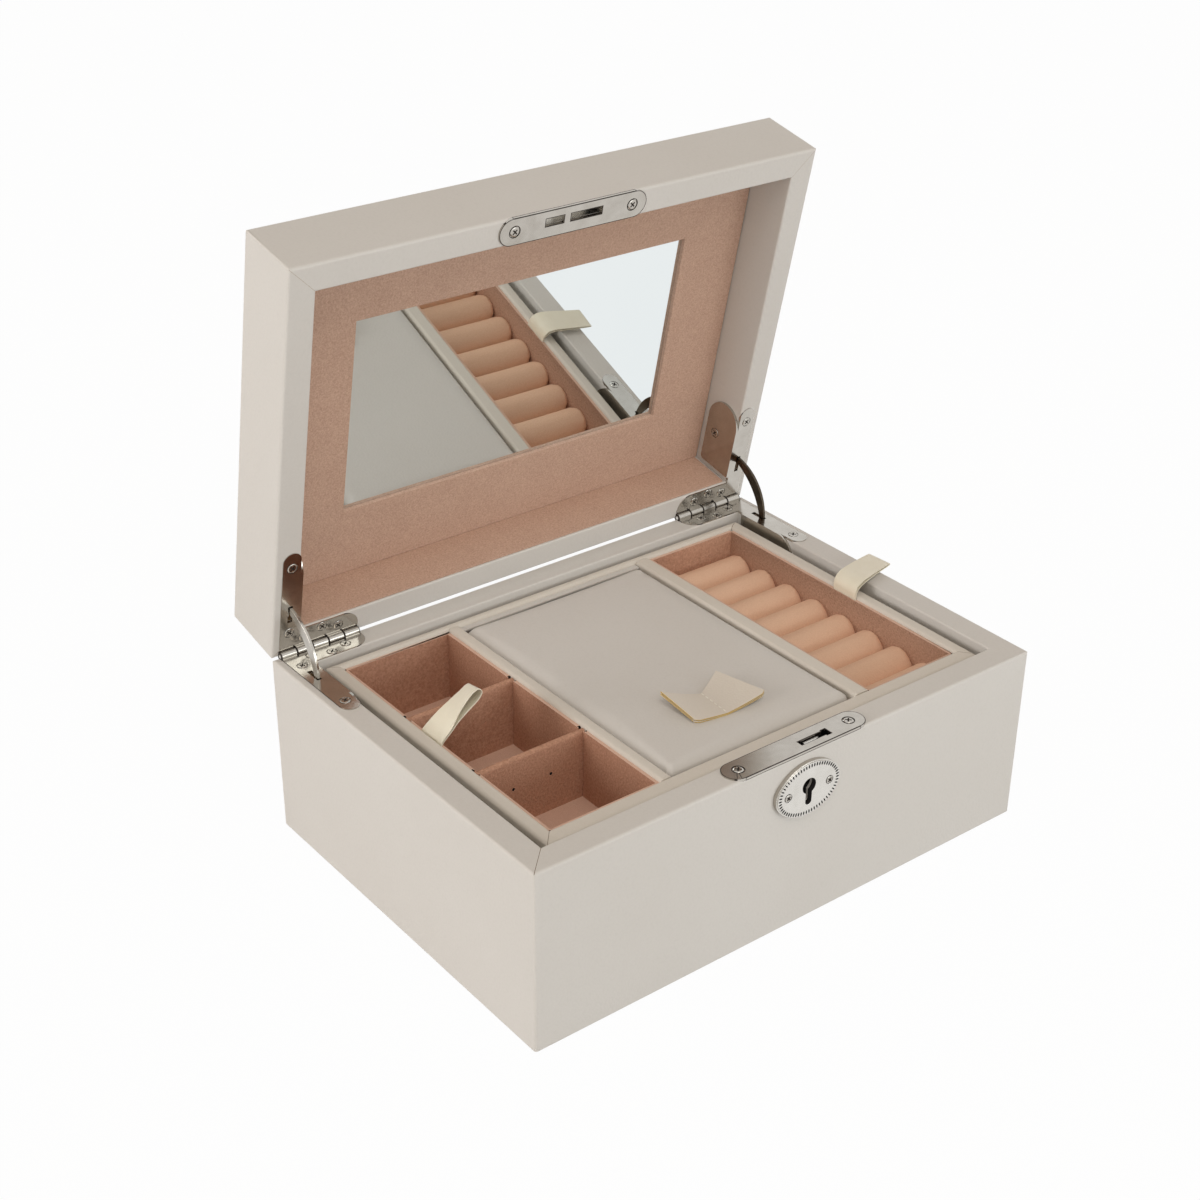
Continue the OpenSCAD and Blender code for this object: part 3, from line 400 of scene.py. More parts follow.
def smooth_path(stations: np.ndarray, steps: int) -> np.ndarray:
    """Runs a smooth curve through stations.

    Args:
        stations: rows of values, one row for each station.
        steps: rows put between two stations.

    Returns:
        The finer rows, from the first station to the last.
    """
    padded = np.vstack([2 * stations[0] - stations[1], stations, 2 * stations[-1] - stations[-2]])
    rows = []
    for i in range(1, len(padded) - 2):
        a, b, c, d = padded[i - 1 : i + 3]
        for k in range(steps):
            t = k / steps
            square, cube = 2 * a - 5 * b + 4 * c - d, 3 * b - a - 3 * c + d
            rows.append(0.5 * (2 * b + (c - a) * t + square * t**2 + cube * t**3))
    rows.append(padded[-2])
    return np.array(rows)


def thick_sheet(name: str, grid: np.ndarray, thickness: float) -> bpy.types.Object:
    """Makes a closed sheet of even thickness from a grid of points.

    Args:
        name: the object's name.
        grid: points of its middle surface, rows by columns by 3, in metres.
        thickness: its thickness, in metres.

    Returns:
        The sheet, its cut edges in material slot 1.
    """
    rows, columns = grid.shape[:2]
    down = np.gradient(grid, axis=0)
    side = np.gradient(grid, axis=1)
    normal = np.cross(down, side)
    normal /= np.maximum(np.linalg.norm(normal, axis=2, keepdims=True), 1e-12)
    upper, lower = grid + normal * thickness / 2, grid - normal * thickness / 2
    points = np.concatenate([upper.reshape(-1, 3), lower.reshape(-1, 3)])
    size = rows * columns
    faces = []
    for i in range(rows - 1):
        for j in range(columns - 1):
            a = i * columns + j
            faces.append((a, a + 1, a + columns + 1, a + columns))
            faces.append((size + a, size + a + columns, size + a + columns + 1, size + a + 1))
    ring = list(range(columns))
    ring += [i * columns + columns - 1 for i in range(1, rows)]
    ring += [(rows - 1) * columns + j for j in range(columns - 2, -1, -1)]
    ring += [i * columns for i in range(rows - 2, 0, -1)]
    rims = [(a, b, size + b, size + a) for a, b in zip(ring, ring[1:] + ring[:1])]
    piece = mesh_from(name, points, faces + rims)
    for polygon in piece.data.polygons[len(faces) :]:
        polygon.material_index = Mark.FIRST
    return smoothed(piece, 50.0)


def merged_copy(node: str, *materials: bpy.types.Material) -> bpy.types.Object:
    """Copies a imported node's mesh with its loose triangles joined and flat regions made whole.

    Args:
        node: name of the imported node.
        *materials: materials of the copy, in the order of its slots.

    Returns:
        The copy, which doesn't stand for the node yet.
    """
    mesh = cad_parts[node].data.copy()
    with opened(mesh) as book:
        bmesh.ops.remove_doubles(book, verts=book.verts, dist=SAME_PLACE)
        bmesh.ops.dissolve_degenerate(book, edges=book.edges, dist=SAME_PLACE)
        bmesh.ops.dissolve_limit(book, angle_limit=SAME_PLANE, verts=book.verts, edges=book.edges)
    mesh.materials.clear()
    for material in materials:
        mesh.materials.append(material)
    return link_object(f"{node}_dressed", mesh)


def crevice_shaded(piece: bpy.types.Object, others: Sequence[str], reach: float, share: float) -> bpy.types.Object:
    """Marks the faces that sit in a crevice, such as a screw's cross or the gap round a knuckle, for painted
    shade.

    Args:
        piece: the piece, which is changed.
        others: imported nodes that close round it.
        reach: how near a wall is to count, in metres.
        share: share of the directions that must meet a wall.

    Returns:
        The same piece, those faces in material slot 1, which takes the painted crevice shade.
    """
    book = bmesh.new()
    for mesh in (piece.data, *[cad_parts[node].data for node in others]):
        book.from_mesh(mesh)
    walls = BVHTree.FromBMesh(book)
    book.free()
    spread = [(0.0, 0.0, 1.0)]
    for tilt, count in RAY_RINGS:
        for k in range(count):
            turn, lean = 2 * math.pi * k / count, math.radians(tilt)
            spread.append((math.sin(lean) * math.cos(turn), math.sin(lean) * math.sin(turn), math.cos(lean)))
    for face in piece.data.polygons:
        turned = face.normal.to_track_quat("Z", "Y")
        start = face.center + face.normal * RAY_LIFT
        met = sum(walls.ray_cast(start, turned @ Vector(way), reach)[0] is not None for way in spread)
        if met > share * len(spread):
            face.material_index = Mark.FIRST
    return piece


def outlined(piece: bpy.types.Object, width: float, least: float) -> bpy.types.Object:
    """Parts off a fine strip along the outline of each broad flat face of a piece.

    A strip is made only where every point of it stays on the piece's own surface.

    Args:
        piece: the piece, which is changed.
        width: width of the strip, in metres.
        least: area from which a face counts as broad, in square metres.

    Returns:
        The same piece, the strips in material slot 1.
    """
    book = bmesh.new()
    book.from_mesh(piece.data)
    surface = BVHTree.FromBMesh(book)
    plane = book.faces.layers.int.new("plane")
    planes: dict[tuple[float, ...], int] = {}
    for face in book.faces:
        if face.calc_area() > least and face.material_index == Mark.OWN:
            key = (*(round(c, 3) for c in face.normal), round(face.normal.dot(face.verts[0].co), 5))
            face[plane] = planes.setdefault(key, len(planes) + 1)
    for number in planes.values():
        for even in (True, False):
            trial = book.copy()
            layer = trial.faces.layers.int["plane"]
            broad = [f for f in trial.faces if f[layer] == number and f.material_index == Mark.OWN]
            made = bmesh.ops.inset_region(trial, faces=broad, thickness=width, use_even_offset=even)
            for strip in made["faces"]:
                strip.material_index = Mark.FIRST
            if all(surface.find_nearest(v.co)[3] < ON_SURFACE for v in trial.verts):
                book.free()
                book = trial
                break
            trial.free()
    book.faces.layers.int.remove(book.faces.layers.int["plane"])
    book.to_mesh(piece.data)
    book.free()
    return piece


def banded(piece: bpy.types.Object, pin: tuple[float, float], reach: float, width: float) -> bpy.types.Object:
    """Darkens the ends of a hinge's knuckles with painted shade, where they meet their neighbours.

    Args:
        piece: the hinge leaf, which is changed.
        pin: the pin's place along Y and Z, in metres.
        reach: distance from the pin within which the knuckles lie, in metres.
        width: width of a band, in metres.

    Returns:
        The same piece, the bands in material slot 1.
    """

    def on_knuckle(place: Vector) -> bool:
        """Whether a point lies on a knuckle."""
        return math.hypot(place.y - pin[0], place.z - pin[1]) < reach

    sideways = [f.center for f in piece.data.polygons if abs(f.normal.x) > 0.99]
    for x in sorted({round(centre.x, 5) for centre in sideways if on_knuckle(centre)}):
        scored(piece, (x, *pin), (1.0, 0.0, 0.0), on_knuckle, width)
    return piece


def hollows_marked(piece: bpy.types.Object) -> bpy.types.Object:
    """Marks the walls of a board's cut-outs, the board's long side lying along X.

    Args:
        piece: the board, which is changed.

    Returns:
        The same piece, those walls in material slot 1.
    """
    skin, broad = 0.3 * MM, 20 * MM**2
    low, high = corners_of(v.co for v in piece.data.vertices)
    for face in piece.data.polygons:
        inward = (*(face.center - low), *(high - face.center))
        slanted = 0.3 < abs(face.normal.x) < 0.95 and abs(face.normal.z) < 0.1
        if min(inward) >= skin and not (slanted and face.area > broad):
            face.material_index = Mark.FIRST
    return piece


def hull_of(piece: bpy.types.Object) -> bpy.types.Object:
    """Replaces a piece by the form that a skin stretched round it takes."""
    with opened(piece.data) as book:
        found = bmesh.ops.convex_hull(book, input=book.verts)
        spare = (*found["geom_interior"], *found["geom_unused"])
        inner = {v for v in spare if isinstance(v, bmesh.types.BMVert)}
        skin = {f for f in found["geom"] if isinstance(f, bmesh.types.BMFace)}
        bmesh.ops.delete(book, geom=[f for f in book.faces if f not in skin], context="FACES_ONLY")
        bmesh.ops.delete(book, geom=[v for v in inner if v.is_valid], context="VERTS")
        bmesh.ops.delete(book, geom=[e for e in book.edges if not e.link_faces], context="EDGES")
        bmesh.ops.dissolve_limit(book, angle_limit=SAME_PLANE, verts=book.verts, edges=book.edges)
        bmesh.ops.recalc_face_normals(book, faces=book.faces)
    return piece


def box_of(*nodes: str) -> tuple[Vector, Vector]:
    """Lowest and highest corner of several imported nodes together."""
    return corners_of(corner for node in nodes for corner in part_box(node))


# ---------------------------------------------------------------- shader groups


class Tree:
    """Short way to write a node tree."""

    def __init__(self, tree: bpy.types.NodeTree) -> None:
        """Wraps a tree whose nodes are made here."""
        self.tree = tree

    def node(self, kind: str, settings: dict | None = None, **inputs: object) -> bpy.types.Node:
        """Adds a node.

        Args:
            kind: type of the node, such as "ShaderNodeTexNoise".
            settings: attributes of the node.
            **inputs: value or output socket for each input, its name written with underscores.

        Returns:
            The new node.
        """
        made = self.tree.nodes.new(kind)
        for key, value in (settings or {}).items():
            setattr(made, key, value)
        for key, value in inputs.items():
            self.feed(made, key.replace("_", " "), value)
        return made

    def put(self, place: bpy.types.NodeSocket, value: object) -> None:
        """Links an output to an input socket, or sets the socket's value."""
        if isinstance(value, bpy.types.NodeSocket):
            self.tree.links.new(value, place)
        else:
            place.default_value = value

    def feed(self, node: bpy.types.Node, name: str, value: object) -> None:
        """Links an output to a node's named input, or sets that input's value."""
        self.put([s for s in node.inputs if s.name == name and s.enabled][0], value)

    def maths(self, what: str, first: object, second: object = 0.0) -> bpy.types.NodeSocket:
        """Adds a Math node and returns its output."""
        made = self.tree.nodes.new("ShaderNodeMath")
        made.operation = what
        for place, value in zip(made.inputs, (first, second)):
            self.put(place, value)
        return made.outputs[0]

    def blend(self, share: object, first: object, second: object) -> bpy.types.NodeSocket:
        """Mixes two colours and returns the mix."""
        made = self.tree.nodes.new("ShaderNodeMix")
        made.data_type = "RGBA"
        for name, value in (("Factor", share), ("A", first), ("B", second)):
            self.feed(made, name, (*value, 1.0) if isinstance(value, tuple) else value)
        return [s for s in made.outputs if s.enabled][0]

    def seen(self) -> bpy.types.NodeSocket:
        """Says whether the camera sees a point directly, or in metal or glass."""
        path = self.node("ShaderNodeLightPath").outputs
        mirrored = self.maths("MAXIMUM", path["Is Camera Ray"], path["Is Glossy Ray"])
        return self.maths("MAXIMUM", mirrored, path["Is Transmission Ray"])


def new_group(
    name: str, inputs: dict[str, float], outputs: Iterable[str]
) -> tuple[Tree, dict[str, bpy.types.NodeSocket], bpy.types.Node]:
    """Makes an empty shader group with float sockets and a Vector input named Place.

    Args:
        name: name of the group.
        inputs: float inputs with their usual values.
        outputs: float outputs.

    Returns:
        The group's tree, its input sockets by name, and the output node.
    """
    group = bpy.data.node_groups.new(name, "ShaderNodeTree")
    group.interface.new_socket(name="Place", in_out="INPUT", socket_type="NodeSocketVector")
    for key, value in inputs.items():
        socket = group.interface.new_socket(name=key, in_out="INPUT", socket_type="NodeSocketFloat")
        socket.default_value = value
    for key in outputs:
        group.interface.new_socket(name=key, in_out="OUTPUT", socket_type="NodeSocketFloat")
    source = group.nodes.new("NodeGroupInput")
    sink = group.nodes.new("NodeGroupOutput")
    return Tree(group), {s.name: s for s in source.outputs}, sink


def pebble_group() -> bpy.types.NodeTree:
    """Fine pebbled grain of leatherette: cells with creases between them, uneven from place to place."""
    tree, given, sink = new_group("pebble_grain", {"Cell": 900.0, "Unevenness": 0.4}, ("Height", "Crease"))
    warp = tree.node("ShaderNodeTexNoise", Vector=given["Place"], Scale=260.0, Detail=2.0)
    shift = tree.node("ShaderNodeVectorMath", {"operation": "SCALE"}, Vector=warp.outputs["Color"])
    tree.put(shift.inputs["Scale"], 0.0009)
    moved = tree.node("ShaderNodeVectorMath", {"operation": "ADD"})
    tree.put(moved.inputs[0], given["Place"])
    tree.put(moved.inputs[1], shift.outputs[0])
    cells = tree.node(
        "ShaderNodeTexVoronoi",
        {"feature": "SMOOTH_F1"},
        Vector=moved.outputs[0],
        Scale=given["Cell"],
        Smoothness=0.35,
    )
    soft = tree.node("ShaderNodeTexNoise", Vector=given["Place"], Scale=120.0, Detail=3.0)
    lump = tree.maths("MULTIPLY", soft.outputs["Fac"], given["Unevenness"])
    height = tree.maths("SUBTRACT", lump, cells.outputs["Distance"])
    tree.feed(sink, "Height", height)
    tree.feed(sink, "Crease", tree.maths("POWER", cells.outputs["Distance"], 2.0))
    return tree.tree


def nap_group() -> bpy.types.NodeTree:
    """Nap of suede cloth: very fine fibres over brushed patches."""
    tree, given, sink = new_group("suede_nap", {"Fibre": 2600.0, "Patch": 60.0}, ("Height", "Tone"))
    fibres = tree.node(
        "ShaderNodeTexNoise", Vector=given["Place"], Scale=given["Fibre"], Detail=2.0, Roughness=0.7
    )
    tufts = tree.node(
        "ShaderNodeTexNoise", Vector=given["Place"], Scale=given["Patch"], Detail=4.0, Roughness=0.6
    )
    grit = tree.maths("MULTIPLY", fibres.outputs["Fac"], 0.85)
    brushed = tree.maths("MULTIPLY", tufts.outputs["Fac"], 0.15)
    tone = tree.maths("ADD", grit, brushed)
    tree.feed(sink, "Height", fibres.outputs["Fac"])
    tree.feed(sink, "Tone", tone)
    return tree.tree


def mottle_group() -> bpy.types.NodeTree:
    """Slow unevenness of colour and gloss, from 0 to 1, as handling and dye leave it."""
    tree, given, sink = new_group("mottle", {"Size": 14.0, "Contrast": 1.0}, ("Mask",))
    cloud = tree.node(
        "ShaderNodeTexNoise", Vector=given["Place"], Scale=given["Size"], Detail=4.0, Roughness=0.55
    )
    spread = tree.maths("MULTIPLY", tree.maths("SUBTRACT", cloud.outputs["Fac"], 0.5), given["Contrast"])
    clamped = tree.node("ShaderNodeClamp", Value=tree.maths("ADD", spread, 0.5))
    tree.feed(sink, "Mask", clamped.outputs[0])
    return tree.tree


class Effects:
    """The shader groups, each built once."""

    def __init__(self) -> None:
        """Builds every shared effect."""
        self.pebble = pebble_group()
        self.nap = nap_group()
        self.mottle = mottle_group()


# ---------------------------------------------------------------- what repeats


class BeadRow:
    """Geometry Nodes tree that sets small rounded beads at even steps along a path."""

    def __init__(self) -> None:
        """Builds the tree."""
        self.tree = bpy.data.node_groups.new("beads_along_path", "GeometryNodeTree")
        ports = self.tree.interface
        ports.new_socket(name="Path", in_out="INPUT", socket_type="NodeSocketGeometry")
        for name, kind in (
            ("Count", "NodeSocketInt"),
            ("Length", "NodeSocketFloat"),
            ("Width", "NodeSocketFloat"),
            ("Height", "NodeSocketFloat"),
            ("Up", "NodeSocketVector"),
            ("Finish", "NodeSocketMaterial"),
        ):
            ports.new_socket(name=name, in_out="INPUT", socket_type=kind)
        ports.new_socket(name="Beads", in_out="OUTPUT", socket_type="NodeSocketGeometry")
        write = Tree(self.tree)
        given = {s.name: s for s in write.node("NodeGroupInput").outputs}
        curve = write.node("GeometryNodeMeshToCurve", Mesh=given["Path"])
        places = write.node(
            "GeometryNodeCurveToPoints", {"mode": "COUNT"}, Curve=curve.outputs[0], Count=given["Count"]
        )
        ball = write.node("GeometryNodeMeshUVSphere", Segments=10, Rings=6, Radius=0.5)
        size = write.node("ShaderNodeCombineXYZ", X=given["Length"], Y=given["Width"], Z=given["Height"])
        bead = write.node("GeometryNodeTransform", Geometry=ball.outputs["Mesh"], Scale=size.outputs[0])
        smooth = write.node("GeometryNodeSetShadeSmooth", Geometry=bead.outputs[0])
        tangent = places.outputs["Tangent"]
        ahead = write.node("FunctionNodeAlignRotationToVector", {"axis": "X"}, Vector=tangent)
        upright = write.node(
            "FunctionNodeAlignRotationToVector",
            {"axis": "Z", "pivot_axis": "X"},
            Rotation=ahead.outputs[0],
            Vector=given["Up"],
        )
        row = write.node(
            "GeometryNodeInstanceOnPoints",
            Points=places.outputs["Points"],
            Instance=smooth.outputs[0],
            Rotation=upright.outputs[0],
        )
        solid = write.node("GeometryNodeRealizeInstances", Geometry=row.outputs[0])
        finished = write.node("GeometryNodeSetMaterial", Geometry=solid.outputs[0], Material=given["Finish"])
        sink = write.node("NodeGroupOutput")
        self.tree.links.new(finished.outputs[0], sink.inputs["Beads"])

    def along(self, name: str, path: Sequence[Point], closed: bool, **values: object) -> bpy.types.Object:
        """Makes a row of beads along a path.

        Args:
            name: the object's name.
            path: points of the path, in metres.
            closed: whether the last point is joined to the first.
            **values: the tree's inputs by name.

        Returns:
            The beads as one plain mesh.
        """
        edges = [(i, i + 1) for i in range(len(path) - 1)] + ([(len(path) - 1, 0)] if closed else [])
        mesh = bpy.data.meshes.new(name)
        mesh.from_pydata([tuple(p) for p in path], edges, [])
        row = link_object(name, mesh)
        modifier = row.modifiers.new("beads", "NODES")
        modifier.node_group = self.tree
        names = {i.name: i.identifier for i in self.tree.interface.items_tree if i.in_out == "INPUT"}
        for key, value in values.items():
            modifier[names[key]] = value
        return applied(row)


# ---------------------------------------------------------------- finishes


@dataclass(frozen=True)
class Finish:
    """A finish of the box: its colours, gloss and relief."""

    name: str
    colour: Rgb
    second: Rgb
    roughness: float

    def start(self) -> tuple[bpy.types.Material, Tree, bpy.types.Node, bpy.types.NodeSocket]:
        """Makes the material with its main shader.

        Returns:
            The material, its tree, the main shader and the Object coordinates.
        """
        material = bpy.data.materials.new(self.name)
        material.use_nodes = True
        tree = Tree(material.node_tree)
        shader = material.node_tree.nodes["Principled BSDF"]
        tree.feed(shader, "Roughness", self.roughness)
        place = tree.node("ShaderNodeTexCoord").outputs["Object"]
        material.diffuse_color = (*self.colour, 1.0)
        return material, tree, shader, place

    def use(
        self, tree: Tree, group: bpy.types.NodeTree, place: bpy.types.NodeSocket, **values: float
    ) -> bpy.types.Node:
        """Places a shared effect in a material with its own values."""
        return tree.node("ShaderNodeGroup", {"node_tree": group}, Place=place, **values)

    def mixed(self, tree: Tree, shader: bpy.types.Node, share: bpy.types.NodeSocket) -> None:
        """Colours the surface with the finish's two colours, mixed by a share."""
        tree.feed(shader, "Base Color", tree.blend(share, self.colour, self.second))

    def relief(self, tree: Tree, shader: bpy.types.Node, height: bpy.types.NodeSocket, depth: float) -> None:
        """Raises the surface by a height, depth metres at most."""
        bump = tree.node("ShaderNodeBump", Strength=1.0, Distance=depth, Height=height)
        tree.feed(shader, "Normal", bump.outputs["Normal"])


@dataclass(frozen=True)
class Leatherette(Finish):
    """Coated cloth with a fine pebbled grain and a low sheen."""

    cell: float = 900.0
    depth: float = 0.04 * MM
    patch: float = 9.0
    crease_tone: float = 0.80
    crease_share: float = 0.15
    gloss_spread: float = 0.10

    def build(self, effects: Effects) -> bpy.types.Material:
        """Makes the material."""
        material, tree, shader, place = self.start()
        grain = self.use(tree, effects.pebble, place, Cell=self.cell)
        patches = self.use(tree, effects.mottle, place, Size=self.patch, Contrast=1.3)
        base = tree.blend(patches.outputs["Mask"], self.colour, self.second)
        # The creases between the grain's cells are painted darker as shade
        darker = tuple(self.crease_tone * c for c in self.second)
        share = tree.maths("MULTIPLY", grain.outputs["Crease"], self.crease_share)
        tree.feed(shader, "Base Color", tree.blend(share, base, darker))
        gloss = tree.maths("MULTIPLY", patches.outputs["Mask"], self.gloss_spread)
        rough = tree.maths("ADD", gloss, self.roughness - self.gloss_spread / 2)
        tree.feed(shader, "Roughness", rough)
        tree.feed(shader, "Specular IOR Level", 0.35)
        self.relief(tree, shader, grain.outputs["Height"], self.depth)
        return material


@dataclass(frozen=True)
class Suede(Finish):
    """Napped cloth: matt, with brushed patches and a soft sheen at grazing angles."""

    fibre: float = 2600.0
    patch: float = 60.0
    depth: float = 0.15 * MM
    sheen: float = 0.25
    contrast: float = 1.0

    def build(self, effects: Effects) -> bpy.types.Material:
        """Makes the material."""
        material, tree, shader, place = self.start()
        nap = self.use(tree, effects.nap, place, Fibre=self.fibre, Patch=self.patch)
        spread = tree.maths("MULTIPLY", tree.maths("SUBTRACT", nap.outputs["Tone"], 0.5), 2.6 * self.contrast)
        share = tree.node("ShaderNodeClamp", Value=tree.maths("ADD", spread, 0.5)).outputs[0]
        tree.feed(shader, "Base Color", tree.blend(share, self.second, self.colour))
        tree.feed(shader, "Specular IOR Level", 0.1)
        tree.feed(shader, "Sheen Weight", self.sheen)
        tree.feed(shader, "Sheen Roughness", 0.5)
        tree.feed(shader, "Sheen Tint", (*self.colour, 1.0))
        self.relief(tree, shader, nap.outputs["Height"], self.depth)
        return material


@dataclass(frozen=True)
class Nickel(Finish):
    """Polished nickel plate with faint handling marks."""

    def build(self, effects: Effects) -> bpy.types.Material:
        """Makes the material."""
        material, tree, shader, place = self.start()
        marks = self.use(tree, effects.mottle, place, Size=160.0, Contrast=1.6)
        self.mixed(tree, shader, marks.outputs["Mask"])
        tree.feed(shader, "Metallic", 1.0)
        dulled = tree.maths("MULTIPLY", marks.outputs["Mask"], 0.08)
        tree.feed(shader, "Roughness", tree.maths("ADD", dulled, self.roughness))
        return material


@dataclass(frozen=True)
class Ribbon(Finish):
    """Satin ribbon with fine cross threads."""

    def build(self, effects: Effects) -> bpy.types.Material:
        """Makes the material."""
        material, tree, shader, place = self.start()
        patches = self.use(tree, effects.mottle, place, Size=120.0, Contrast=1.2)
        self.mixed(tree, shader, patches.outputs["Mask"])
        threads = tree.node(
            "ShaderNodeTexWave", {"bands_direction": "Y"}, Vector=place, Scale=900.0, Distortion=0.6
        )
        tree.feed(shader, "Specular IOR Level", 0.4)
        tree.feed(shader, "Sheen Weight", 0.3)
        self.relief(tree, shader, threads.outputs["Fac"], 0.03 * MM)
        return material


@dataclass(frozen=True)
class Silvering(Finish):
    """Face of the mirror: silver behind clear glass."""

    def build(self, effects: Effects) -> bpy.types.Material:
        """Makes the material."""
        material, tree, shader, place = self.start()
        veil = self.use(tree, effects.mottle, place, Size=25.0, Contrast=0.6)
        self.mixed(tree, shader, veil.outputs["Mask"])
        tree.feed(shader, "Metallic", 1.0)
        return material


@dataclass(frozen=True)
class Fibreboard(Finish):
    """Raw board: pressed fibres, matt."""

    def build(self, effects: Effects) -> bpy.types.Material:
        """Makes the material."""
        material, tree, shader, place = self.start()
        nap = self.use(tree, effects.nap, place, Fibre=1500.0, Patch=40.0)
        self.mixed(tree, shader, nap.outputs["Tone"])
        self.relief(tree, shader, nap.outputs["Height"], 0.1 * MM)
        return material


class Finishes:
    """Every material of the box."""

    def __init__(self, effects: Effects) -> None:
        """Builds the materials.

        Args:
            effects: the shared shader groups.
        """
        self.leatherette = Leatherette(
            "cream_leatherette", srgb(214, 211, 207), srgb(208, 204, 199), 0.50
        ).build(effects)
        self.tray_cover = Leatherette(
            "tray_leatherette", srgb(218, 212, 203), srgb(211, 204, 194), 0.50
        ).build(effects)
        self.tab_leather = Leatherette(
            "tab_leatherette", srgb(217, 209, 198), srgb(209, 200, 188), 0.45, cell=1100.0
        ).build(effects)
        self.suede = Suede(
            "pink_suede", srgb(208, 176, 157), srgb(178, 146, 128), 0.95, fibre=1300.0, depth=0.3 * MM
        ).build(effects)
        self.lining = Suede(
            "tray_lining_suede", srgb(202, 158, 134), srgb(168, 125, 103), 0.95, fibre=1000.0, depth=0.4 * MM
        ).build(effects)
        # Paler suede of the linings' upward faces: the real colour of the cut edges, and painted light on the
        # floors
        self.suede_edge = Suede(
            "suede_cut_edge_and_lit_floor", srgb(228, 196, 178), srgb(208, 172, 152), 0.95
        ).build(effects)
        # A paler copy of the pink suede: painted light on the domed ring rolls
        self.roll = Suede(
            "ring_roll_suede",
            srgb(240, 204, 178),
            srgb(224, 184, 156),
            0.95,
            fibre=1500.0,
            patch=90.0,
            contrast=0.6,
            sheen=0.3,
        ).build(effects)
        self.felt = Suede(
            "brown_felt", srgb(132, 112, 94), srgb(106, 88, 72), 0.98, fibre=900.0
        ).build(effects)
        self.ribbon = Ribbon("ivory_ribbon", srgb(238, 233, 216), srgb(228, 221, 200), 0.42).build(effects)
        self.thread = Ribbon("sewing_thread", srgb(236, 232, 222), srgb(222, 216, 204), 0.6).build(effects)
        self.nickel = Nickel("polished_nickel", srgb(196, 191, 183), srgb(178, 172, 163), 0.14).build(effects)
        # A lighter copy of the nickel, painted light: the oval plate's face against its darker side, and the
        # lit tops seen down the lock's slots
        self.bright = Nickel("painted_lit_nickel", srgb(222, 219, 213), srgb(208, 204, 197), 0.2).build(effects)
        # A darker copy of the nickel: painted shade on the right stay
        self.shaded_nickel = Nickel("shaded_stay_nickel", srgb(96, 86, 74), srgb(70, 62, 54), 0.25).build(effects)
        self.silvering = Silvering(
            "mirror_silver", srgb(236, 240, 240), srgb(230, 236, 237), 0.01
        ).build(effects)
        self.tab_edge = Fibreboard(
            "tab_raw_edge", srgb(206, 180, 118), srgb(182, 150, 88), 0.7
        ).build(effects)
        self.seam = Fibreboard("seam_shadow", srgb(132, 112, 90), srgb(104, 86, 68), 0.9).build(effects)
        self.soft_seam = Fibreboard(
            "lid_seam_shadow", srgb(184, 171, 156), srgb(168, 154, 138), 0.9
        ).build(effects)
        # Painted shade: the dark colour of the metal's crevices, rounded edges, knuckle gaps and the outlines
        # round the lock plates
        self.crevice_shade = Fibreboard("painted_crevice_shade", srgb(54, 44, 36), srgb(36, 29, 24), 0.8).build(effects)
        self.board = Fibreboard("fibreboard", srgb(176, 146, 104), srgb(150, 120, 82), 0.9).build(effects)
        # Painted shade: the near-black of the keyhole, the lock's inside, the line round the glass, the tick
        # notches, the lining gaps and the nail holes
        self.dark = Fibreboard("painted_recess_shade", srgb(26, 22, 20), srgb(16, 14, 13), 0.9).build(effects)


# ---------------------------------------------------------------- sub-assemblies


@dataclass
class SubAssembly:
    """A group of pieces on one body, and what dresses them."""

    finishes: Finishes
    body: str = "box"
    made: list[bpy.types.Object] = field(default_factory=list)

    def settle(
        self,
        piece: bpy.types.Object,
        material: bpy.types.Material,
        slot: str,
        replaced: Sequence[str] = (),
        body: str | None = None,
    ) -> bpy.types.Object:
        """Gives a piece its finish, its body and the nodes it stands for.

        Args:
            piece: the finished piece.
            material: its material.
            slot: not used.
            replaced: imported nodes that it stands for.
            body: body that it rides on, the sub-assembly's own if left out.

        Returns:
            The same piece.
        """
        if not piece.data.materials:
            piece.data.materials.append(material)
        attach(piece, body or self.body)
        if replaced:
            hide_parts(*replaced)
        self.made.append(piece)
        log.info("%s: %d faces on %s", piece.name, len(piece.data.polygons), body or self.body)
        return piece

    def paint(self, material: bpy.types.Material, *nodes: str) -> None:
        """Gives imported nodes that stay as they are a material."""
        for node in nodes:
            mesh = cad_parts[node].data
            mesh.materials.clear()
            mesh.materials.append(material)
            log.info("%s: packed shape", node)

    def dress(
        self,
        node: str,
        material: bpy.types.Material,
        slot: str,
        edge: float,
        body: str | None = None,
    ) -> bpy.types.Object:
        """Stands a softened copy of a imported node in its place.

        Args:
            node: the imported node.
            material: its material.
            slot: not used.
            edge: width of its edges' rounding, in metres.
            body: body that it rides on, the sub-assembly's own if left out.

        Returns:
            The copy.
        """
        piece = softened(merged_copy(node, material), edge)
        return self.settle(piece, material, slot, (node,), body)


def mitred(
    piece: bpy.types.Object, corner: Point, inward: Point, up: float, width: float
) -> bpy.types.Object:
    """Scores the mitre seam of a rim's corner.

    Args:
        piece: the piece, which is changed.
        corner: the rim's outer corner at the level of its top face, in metres.
        inward: from that corner to the inner one, in metres.
        up: 1 if the rim faces up, -1 if it faces down.
        width: width of the seam, in metres.

    Returns:
        The same piece.
    """
    start, run = Vector(corner), Vector(inward)
    across = Vector((run.y, -run.x, 0.0))
    past, deep, behind = 1.0 * MM, 1.6 * MM, 0.1 * MM

    def on_rim(place: Vector) -> bool:
        """Whether a point lies on the rim's face near the corner."""
        flat = Vector((place.x - start.x, place.y - start.y, 0.0))
        on_face = (place.z - start.z) * up > -deep
        return on_face and flat.length < run.length + past and flat.dot(run) > -behind * run.length

    return scored(piece, corner, across, on_rim, width)


